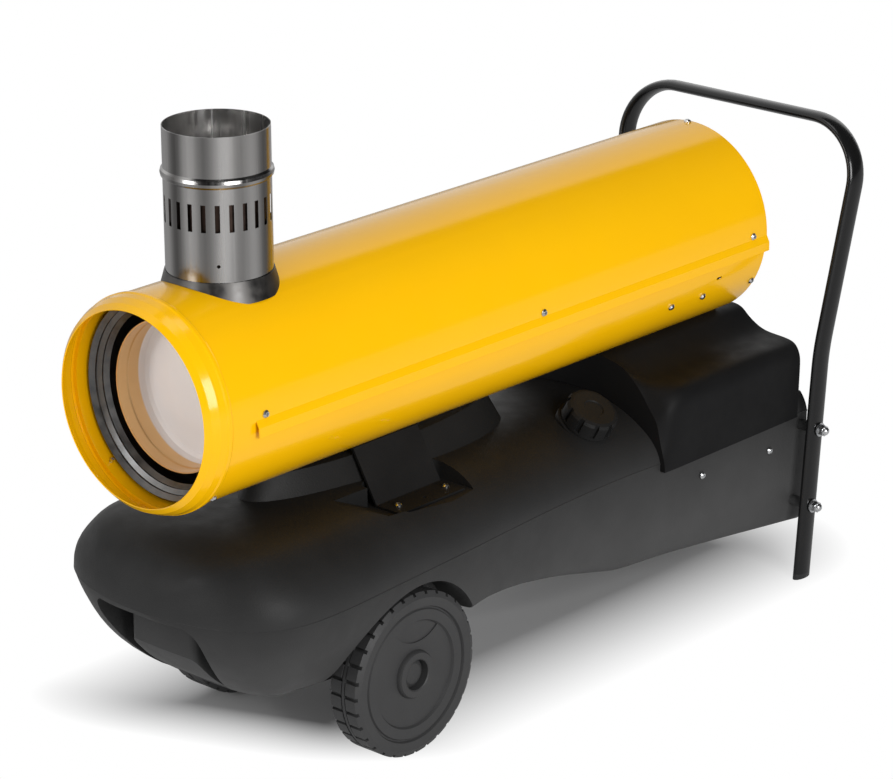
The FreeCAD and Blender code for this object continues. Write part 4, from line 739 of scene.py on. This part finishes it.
def add_side_forms(tank, side):
    """Wheel arch, bracket pocket with its ramp, and leg bosses on one side."""
    arch_start = (ARCH_IN_X * side, WHEEL_Y, WHEEL_R)
    carve(tank, peg("arch", ARCH_R, arch_start, (WIDE * side, WHEEL_Y, WHEEL_R), FINE_SIDES))
    low_x, high_x = sorted(x * side for x in POCKET_X)
    pocket_low = (low_x, POCKET_FRONT_Y, BRACKET_Z)
    pocket_high = (high_x, POCKET_REAR_Y, POCKET_TOP_Z)
    carve(tank, block("bracket_pocket", pocket_low, pocket_high, POCKET_EDGE))
    carve(tank, pocket_ramp(side))
    inner, outer = LEG_BOSS_X
    for y, z in LEG_BOSSES:
        carve(tank, peg("leg_boss", LEG_BOSS_R, (inner * side, y, z), (outer * side, y, z)), "UNION")


def add_recess(tank):
    """Front recess with the step at its foot and the block that stands in it."""
    carve(tank, recess_scoop())
    step = tank_skin("recess_step", -RECESS_STEP, STEP_FRONT_Y, FILL_SKIN_REAR_Y, FILL_RINGS)
    step_low = (-STEP_HALF_W, RECESS_FRONT_Y, STEP_LOW_Z)
    step_high = (STEP_HALF_W, FILL_BLOCK_REAR_Y, STEP_TOP_Z)
    carve(step, block("step_room", step_low, step_high), "INTERSECT")
    carve(tank, step, "UNION")
    upright_low = (-UPRIGHT_HALF_W, UPRIGHT_FRONT_Y, UPRIGHT_LOW_Z)
    upright_high = (UPRIGHT_HALF_W, FILL_BLOCK_REAR_Y, UPRIGHT_TOP_Z)
    upright = block("upright", upright_low, upright_high, UPRIGHT_EDGE)
    room = tank_skin("nose_room", -RECESS_STEP / 2, UPRIGHT_SKIN_FRONT_Y, FILL_SKIN_REAR_Y, FILL_RINGS)
    carve(upright, room, "INTERSECT")
    carve(tank, upright, "UNION")


def tank_body():
    """Whole tank, in place of the CAD one."""
    tank = tank_skin("tank_body", 0, NOSE_Y + TIP_GAP, TANK_REAR_Y, TANK_RINGS)
    carve(tank, block("deck", (-WIDE, DECK_Y, DECK_Z), (WIDE, PAST_REAR_Y, PAST_TOP_Z)))
    carve(tank, tank_saddle(), "UNION")
    add_filler_seat(tank)
    for side in (1, -1):
        add_side_forms(tank, side)
    flat_low = (-STRAP_FLAT_HALF_W, WHEEL_Y - STRAP_FLAT_HALF_L, STRAP_FLAT_LOW_Z)
    flat_high = (STRAP_FLAT_HALF_W, WHEEL_Y + STRAP_FLAT_HALF_L, STRAP_FLAT_Z)
    carve(tank, block("strap_flat", flat_low, flat_high))
    add_recess(tank)
    settle(tank, tank_plastic, "tank_plastic", MOULDED_ANGLE, "fuel_tank")


tank_body()

# Handle of oval tube, with plugs in the legs
LEG_X = 170
FOOT = Vector((LEG_X, 432, 0))
LEG_BEND = Vector((LEG_X, 459.8, 303))
TOP_CORNER = Vector((190.6, 510.4, 591.6))
BEND_RADIUS = 420
CORNER_RADIUS = 72
TUBE_DEEP = 31
TUBE_THIN = 14
PLUG_HEIGHT = 6


def across(point):
    """The same point on the other side."""
    return Vector((-point.x, point.y, point.z))


def bent_path(points, radii, steps=16):
    """Points along straight runs whose corners are arcs."""
    path = [points[0]]
    for index, radius in enumerate(radii, 1):
        corner = points[index]
        before = (points[index - 1] - corner).normalized()
        after = (points[index + 1] - corner).normalized()
        half = before.angle(after) / 2
        first = corner + before * (radius / math.tan(half))
        centre = corner + (before + after).normalized() * (radius / math.sin(half))
        start = first - centre
        last = corner + after * (radius / math.tan(half)) - centre
        sweep = start.angle(last)
        for step in range(steps + 1):
            share = step / steps
            turned = start * math.sin((1 - share) * sweep) + last * math.sin(share * sweep)
            path.append(centre + turned / math.sin(sweep))
    path.append(points[-1])
    return path


def oval_rings(path, sides=32):
    """Rings of the oval tube, whose long axis starts square to the leg and stays square to the path."""
    rings = []
    deep_way = Vector((0, 1, 0))
    for index, point in enumerate(path):
        way = (path[min(index + 1, len(path) - 1)] - path[max(index - 1, 0)]).normalized()
        deep_way = (deep_way - way * deep_way.dot(way)).normalized()
        thin_way = way.cross(deep_way)
        ring = []
        for turn in range(sides):
            angle = math.tau * turn / sides
            deep = deep_way * (TUBE_DEEP / 2 * math.cos(angle))
            ring.append(point + deep + thin_way * (TUBE_THIN / 2 * math.sin(angle)))
        rings.append(ring)
    return rings


def handle_pieces():
    """Handle and leg plugs, in place of the CAD ones."""
    leg_way = (LEG_BEND - FOOT).normalized()
    start = FOOT + leg_way * (PLUG_HEIGHT / leg_way.z)
    points = [start, LEG_BEND, TOP_CORNER, across(TOP_CORNER), across(LEG_BEND), across(start)]
    path = bent_path(points, [BEND_RADIUS, CORNER_RADIUS, CORNER_RADIUS, BEND_RADIUS])
    tube = wrapped_skin("handle_tube", oval_rings(path))
    settle(tube, handle_paint, "black_paint", TUBE_ANGLE, "handle")
    upper = oval_rings([FOOT, start])[1]
    lower = [point - leg_way * (point.z / leg_way.z) for point in upper]
    right = wrapped_skin("leg_plugs", [lower, upper])
    left = wrapped_skin("left_plug", [[across(point) for point in ring] for ring in (lower, upper)])
    bpy.ops.object.select_all(action="DESELECT")
    left.select_set(True)
    right.select_set(True)
    bpy.context.view_layer.objects.active = right
    bpy.ops.object.join()
    settle(right, black_gloss, "black_plastic", TUBE_ANGLE, "foot_plugs")


handle_pieces()

# Wheels with a shallow crescent moulded above the hub
# The face that carries the crescent lies this far inside the wheel's outermost point
FACE_IN = 6
CRESCENT_DEEP = 1.6
CRESCENT_OUT_R = 64
CRESCENT_LOW_R = 50
# Middle of the round that gives the crescent its lower edge: place along the heater and height
CRESCENT_SPOT = (-284, 188)


def marked_wheel(name, node, side):
    """Merged copy of a wheel with the crescent carved into its outer face."""
    bpy.ops.object.select_all(action="DESELECT")
    wheel = nodes[node].copy()
    wheel.data = nodes[node].data.copy()
    wheel.name = name
    scene.collection.objects.link(wheel)
    wheel.select_set(True)
    bpy.context.view_layer.objects.active = wheel
    bpy.ops.mesh.customdata_custom_splitnormals_clear()
    bpy.ops.object.mode_set(mode="EDIT")
    bpy.ops.mesh.select_all(action="SELECT")
    bpy.ops.mesh.remove_doubles(threshold=MERGE_GAP)
    bpy.ops.object.mode_set(mode="OBJECT")
    face = max(abs(vertex.co.x) for vertex in wheel.data.vertices) / MM - FACE_IN
    inner = (face - CRESCENT_DEEP) * side
    outer = (face + FACE_IN) * side
    hub = (WHEEL_Y, WHEEL_R)
    crescent = peg("crescent", CRESCENT_OUT_R, (inner, *hub), (outer, *hub), FINE_SIDES)
    low_start = (inner - CUT_CLEAR * side, *CRESCENT_SPOT)
    low_end = (outer + CUT_CLEAR * side, *CRESCENT_SPOT)
    low = peg("crescent_low", CRESCENT_LOW_R, low_start, low_end, FINE_SIDES)
    carve(crescent, low, "INTERSECT")
    carve(wheel, crescent)
    settle(wheel, wheel_plastic, "tank_plastic", MOULDED_ANGLE, node, body=node)


marked_wheel("right_wheel", "wheel_right", 1)
marked_wheel("left_wheel", "wheel_left", -1)

# Dark sleeve inside the flue pipe, seen through its slots, a painted shade standing in for the shade inside
# the pipe
FLUE_Y = -436
SLEEVE_R = 56
SLEEVE_WALL = 0.8
SLEEVE_LOW = 596
SLEEVE_TOP = 692


def flue_sleeve():
    """Thin open sleeve, dark as painted shade behind the slots."""
    sleeve = peg("flue_sleeve", SLEEVE_R, (0, FLUE_Y, SLEEVE_LOW), (0, FLUE_Y, SLEEVE_TOP), FINE_SIDES)
    bore_low = (0, FLUE_Y, SLEEVE_LOW - CUT_CLEAR)
    bore_high = (0, FLUE_Y, SLEEVE_TOP + CUT_CLEAR)
    carve(sleeve, peg("sleeve_bore", SLEEVE_R - SLEEVE_WALL, bore_low, bore_high, FINE_SIDES))
    settle(sleeve, sleeve_shade_steel, "exchanger_steel", TUBE_ANGLE)


flue_sleeve()

# Studio; sizes are in metres
FLOOR_SIZE = 40
FLOOR_TONE = 0.50
# Part of the floor that stays grey, partly painted shadow and partly the rendered shadow: its middle, half
# width, slanting front edge and rear edge
SHADOW_X = -0.06
SHADOW_HALF_W = 0.08
SHADOW_SLANT = 0.4
SHADOW_FRONT_Y = -0.31
SHADOW_REAR_Y = 0.44
# Distance over which the floor turns white, and how much faster it does so at the front
FADE_REACH = 0.18
FADE_FRONT = 1.6
# Shares of the white that reflections and bounced light see
FADE_IN_GLOSS = 0.3
FADE_IN_BOUNCE = 0.55
# Side of the room that reflections see white, and the tones of the other side and of the fill light
BACKDROP_LEAN = 0.34
BACKDROP_EDGE = 0.03
DIM_TONE = 0.04
FILL_TONE = (0.32, 0.32, 0.325)


def studio_floor():
    """Pale floor, grey in a painted shadow zone where the rendered shadow also shows, fading into white away
    from the object.
    """
    bpy.ops.mesh.primitive_plane_add(size=FLOOR_SIZE, location=(0, 0, 0))
    floor = bpy.context.object
    floor.name = "studio_floor"
    material, kit, shader = finish_material("floor_white", specular=0.1)
    shader.inputs["Base Color"].default_value = (*grey(FLOOR_TONE), 1)
    shader.inputs["Roughness"].default_value = 0.8
    x, y, _ = kit.split(kit.coordinate("Object"))
    from_middle = kit.math("ABSOLUTE", kit.math("SUBTRACT", x, SHADOW_X))
    aside = kit.math("MAXIMUM", kit.math("SUBTRACT", from_middle, SHADOW_HALF_W))
    front_edge = kit.math("ADD", kit.math("MULTIPLY", x, SHADOW_SLANT), SHADOW_FRONT_Y)
    before = kit.math("MAXIMUM", kit.math("SUBTRACT", front_edge, y))
    behind = kit.math("MAXIMUM", kit.math("SUBTRACT", y, SHADOW_REAR_Y))
    along = kit.math("ADD", kit.math("MULTIPLY", before, FADE_FRONT), behind)
    reach = kit.math("SQRT", kit.math("ADD", kit.math("POWER", aside, 2), kit.math("POWER", along, 2)))
    # Painted shadow zone: the floor keeps its grey tone inside it, where the rendered shadow also shows, and
    # turns white away from it
    fade = kit.range(reach, 0.0, 1.0, 0.0, FADE_REACH)
    rays = kit.add("ShaderNodeLightPath").outputs
    looked = kit.math("MAXIMUM", rays["Is Camera Ray"], rays["Is Transmission Ray"])
    mirrored = kit.math("MULTIPLY", rays["Is Glossy Ray"], FADE_IN_GLOSS)
    bounced = kit.math("MULTIPLY", rays["Is Diffuse Ray"], FADE_IN_BOUNCE)
    share = kit.math("MAXIMUM", looked, kit.math("MAXIMUM", mirrored, bounced))
    glow = kit.add("ShaderNodeEmission")
    glow.inputs["Strength"].default_value = 1.0
    blend = kit.add("ShaderNodeMixShader")
    kit.link(kit.math("MULTIPLY", fade, share), blend.inputs["Fac"])
    kit.link(shader.outputs["BSDF"], blend.inputs[1])
    kit.link(glow.outputs["Emission"], blend.inputs[2])
    kit.link(blend.outputs["Shader"], kit.tree.nodes["Material Output"].inputs["Surface"])
    floor.data.materials.append(material)


def studio_room():
    """White room for the camera; reflections see it white on the backdrop's side and dim on the other."""
    world = bpy.data.worlds.new("studio_room")
    scene.world = world
    world.use_nodes = True
    kit = Nodes(world.node_tree)
    x, _, z = kit.split(kit.coordinate("Generated"))
    lean = kit.math("ADD", x, kit.math("MULTIPLY", z, BACKDROP_LEAN))
    backdrop_side = kit.range(lean, 1.0, 0.0, -BACKDROP_EDGE, BACKDROP_EDGE)
    rays = kit.add("ShaderNodeLightPath").outputs
    mirrored = kit.mix(backdrop_side, grey(DIM_TONE), grey(1.0))
    unseen = kit.mix(rays["Is Glossy Ray"], FILL_TONE, mirrored)
    seen = kit.math("MAXIMUM", rays["Is Camera Ray"], rays["Is Transmission Ray"])
    kit.link(kit.mix(seen, unseen, grey(1.0)), world.node_tree.nodes["Background"].inputs["Color"])


def softbox(name, place, target, width, height, power):
    """Area lamp that points at a target."""
    lamp = bpy.data.lights.new(name, "AREA")
    lamp.shape = "RECTANGLE"
    lamp.size = width
    lamp.size_y = height
    lamp.energy = power
    thing = bpy.data.objects.new(name, lamp)
    scene.collection.objects.link(thing)
    thing.location = place
    thing.rotation_euler = (Vector(target) - Vector(place)).to_track_quat("-Z", "Y").to_euler()


studio_floor()
studio_room()
softbox("top_softbox", (0.05, -0.2, 2.8), target=(0, 0, 0.3), width=1.0, height=1.3, power=9)
softbox("key_softbox", (3.7, -1.2, 1.6), target=(0, 0.1, 0.35), width=1.8, height=1.8, power=120)
softbox("front_softbox", (-0.6, -3.4, 1.4), target=(0, 0, 0.4), width=1.2, height=1.4, power=32)

# Camera at the photograph's viewing angle; places are in metres and angles in degrees
CAMERA_PLACE = (2.7486, -3.0900, 1.8132)
CAMERA_YAW = 41.5545
CAMERA_PITCH = 20.2819
FOCAL_PIXELS = 3619.5
IMAGE_WIDTH = 893
SHIFT_PIXELS = (-41.66, 37.42)
SENSOR_WIDTH = 36
lens = bpy.data.cameras.new("photo_camera")
lens.sensor_width = SENSOR_WIDTH
lens.lens = FOCAL_PIXELS * SENSOR_WIDTH / IMAGE_WIDTH
lens.shift_x = SHIFT_PIXELS[0] / IMAGE_WIDTH
lens.shift_y = SHIFT_PIXELS[1] / IMAGE_WIDTH
lens.clip_end = 100
camera = bpy.data.objects.new("photo_camera", lens)
scene.collection.objects.link(camera)
camera.location = CAMERA_PLACE
camera.rotation_euler = (math.radians(90 - CAMERA_PITCH), 0, math.radians(CAMERA_YAW))
scene.camera = camera
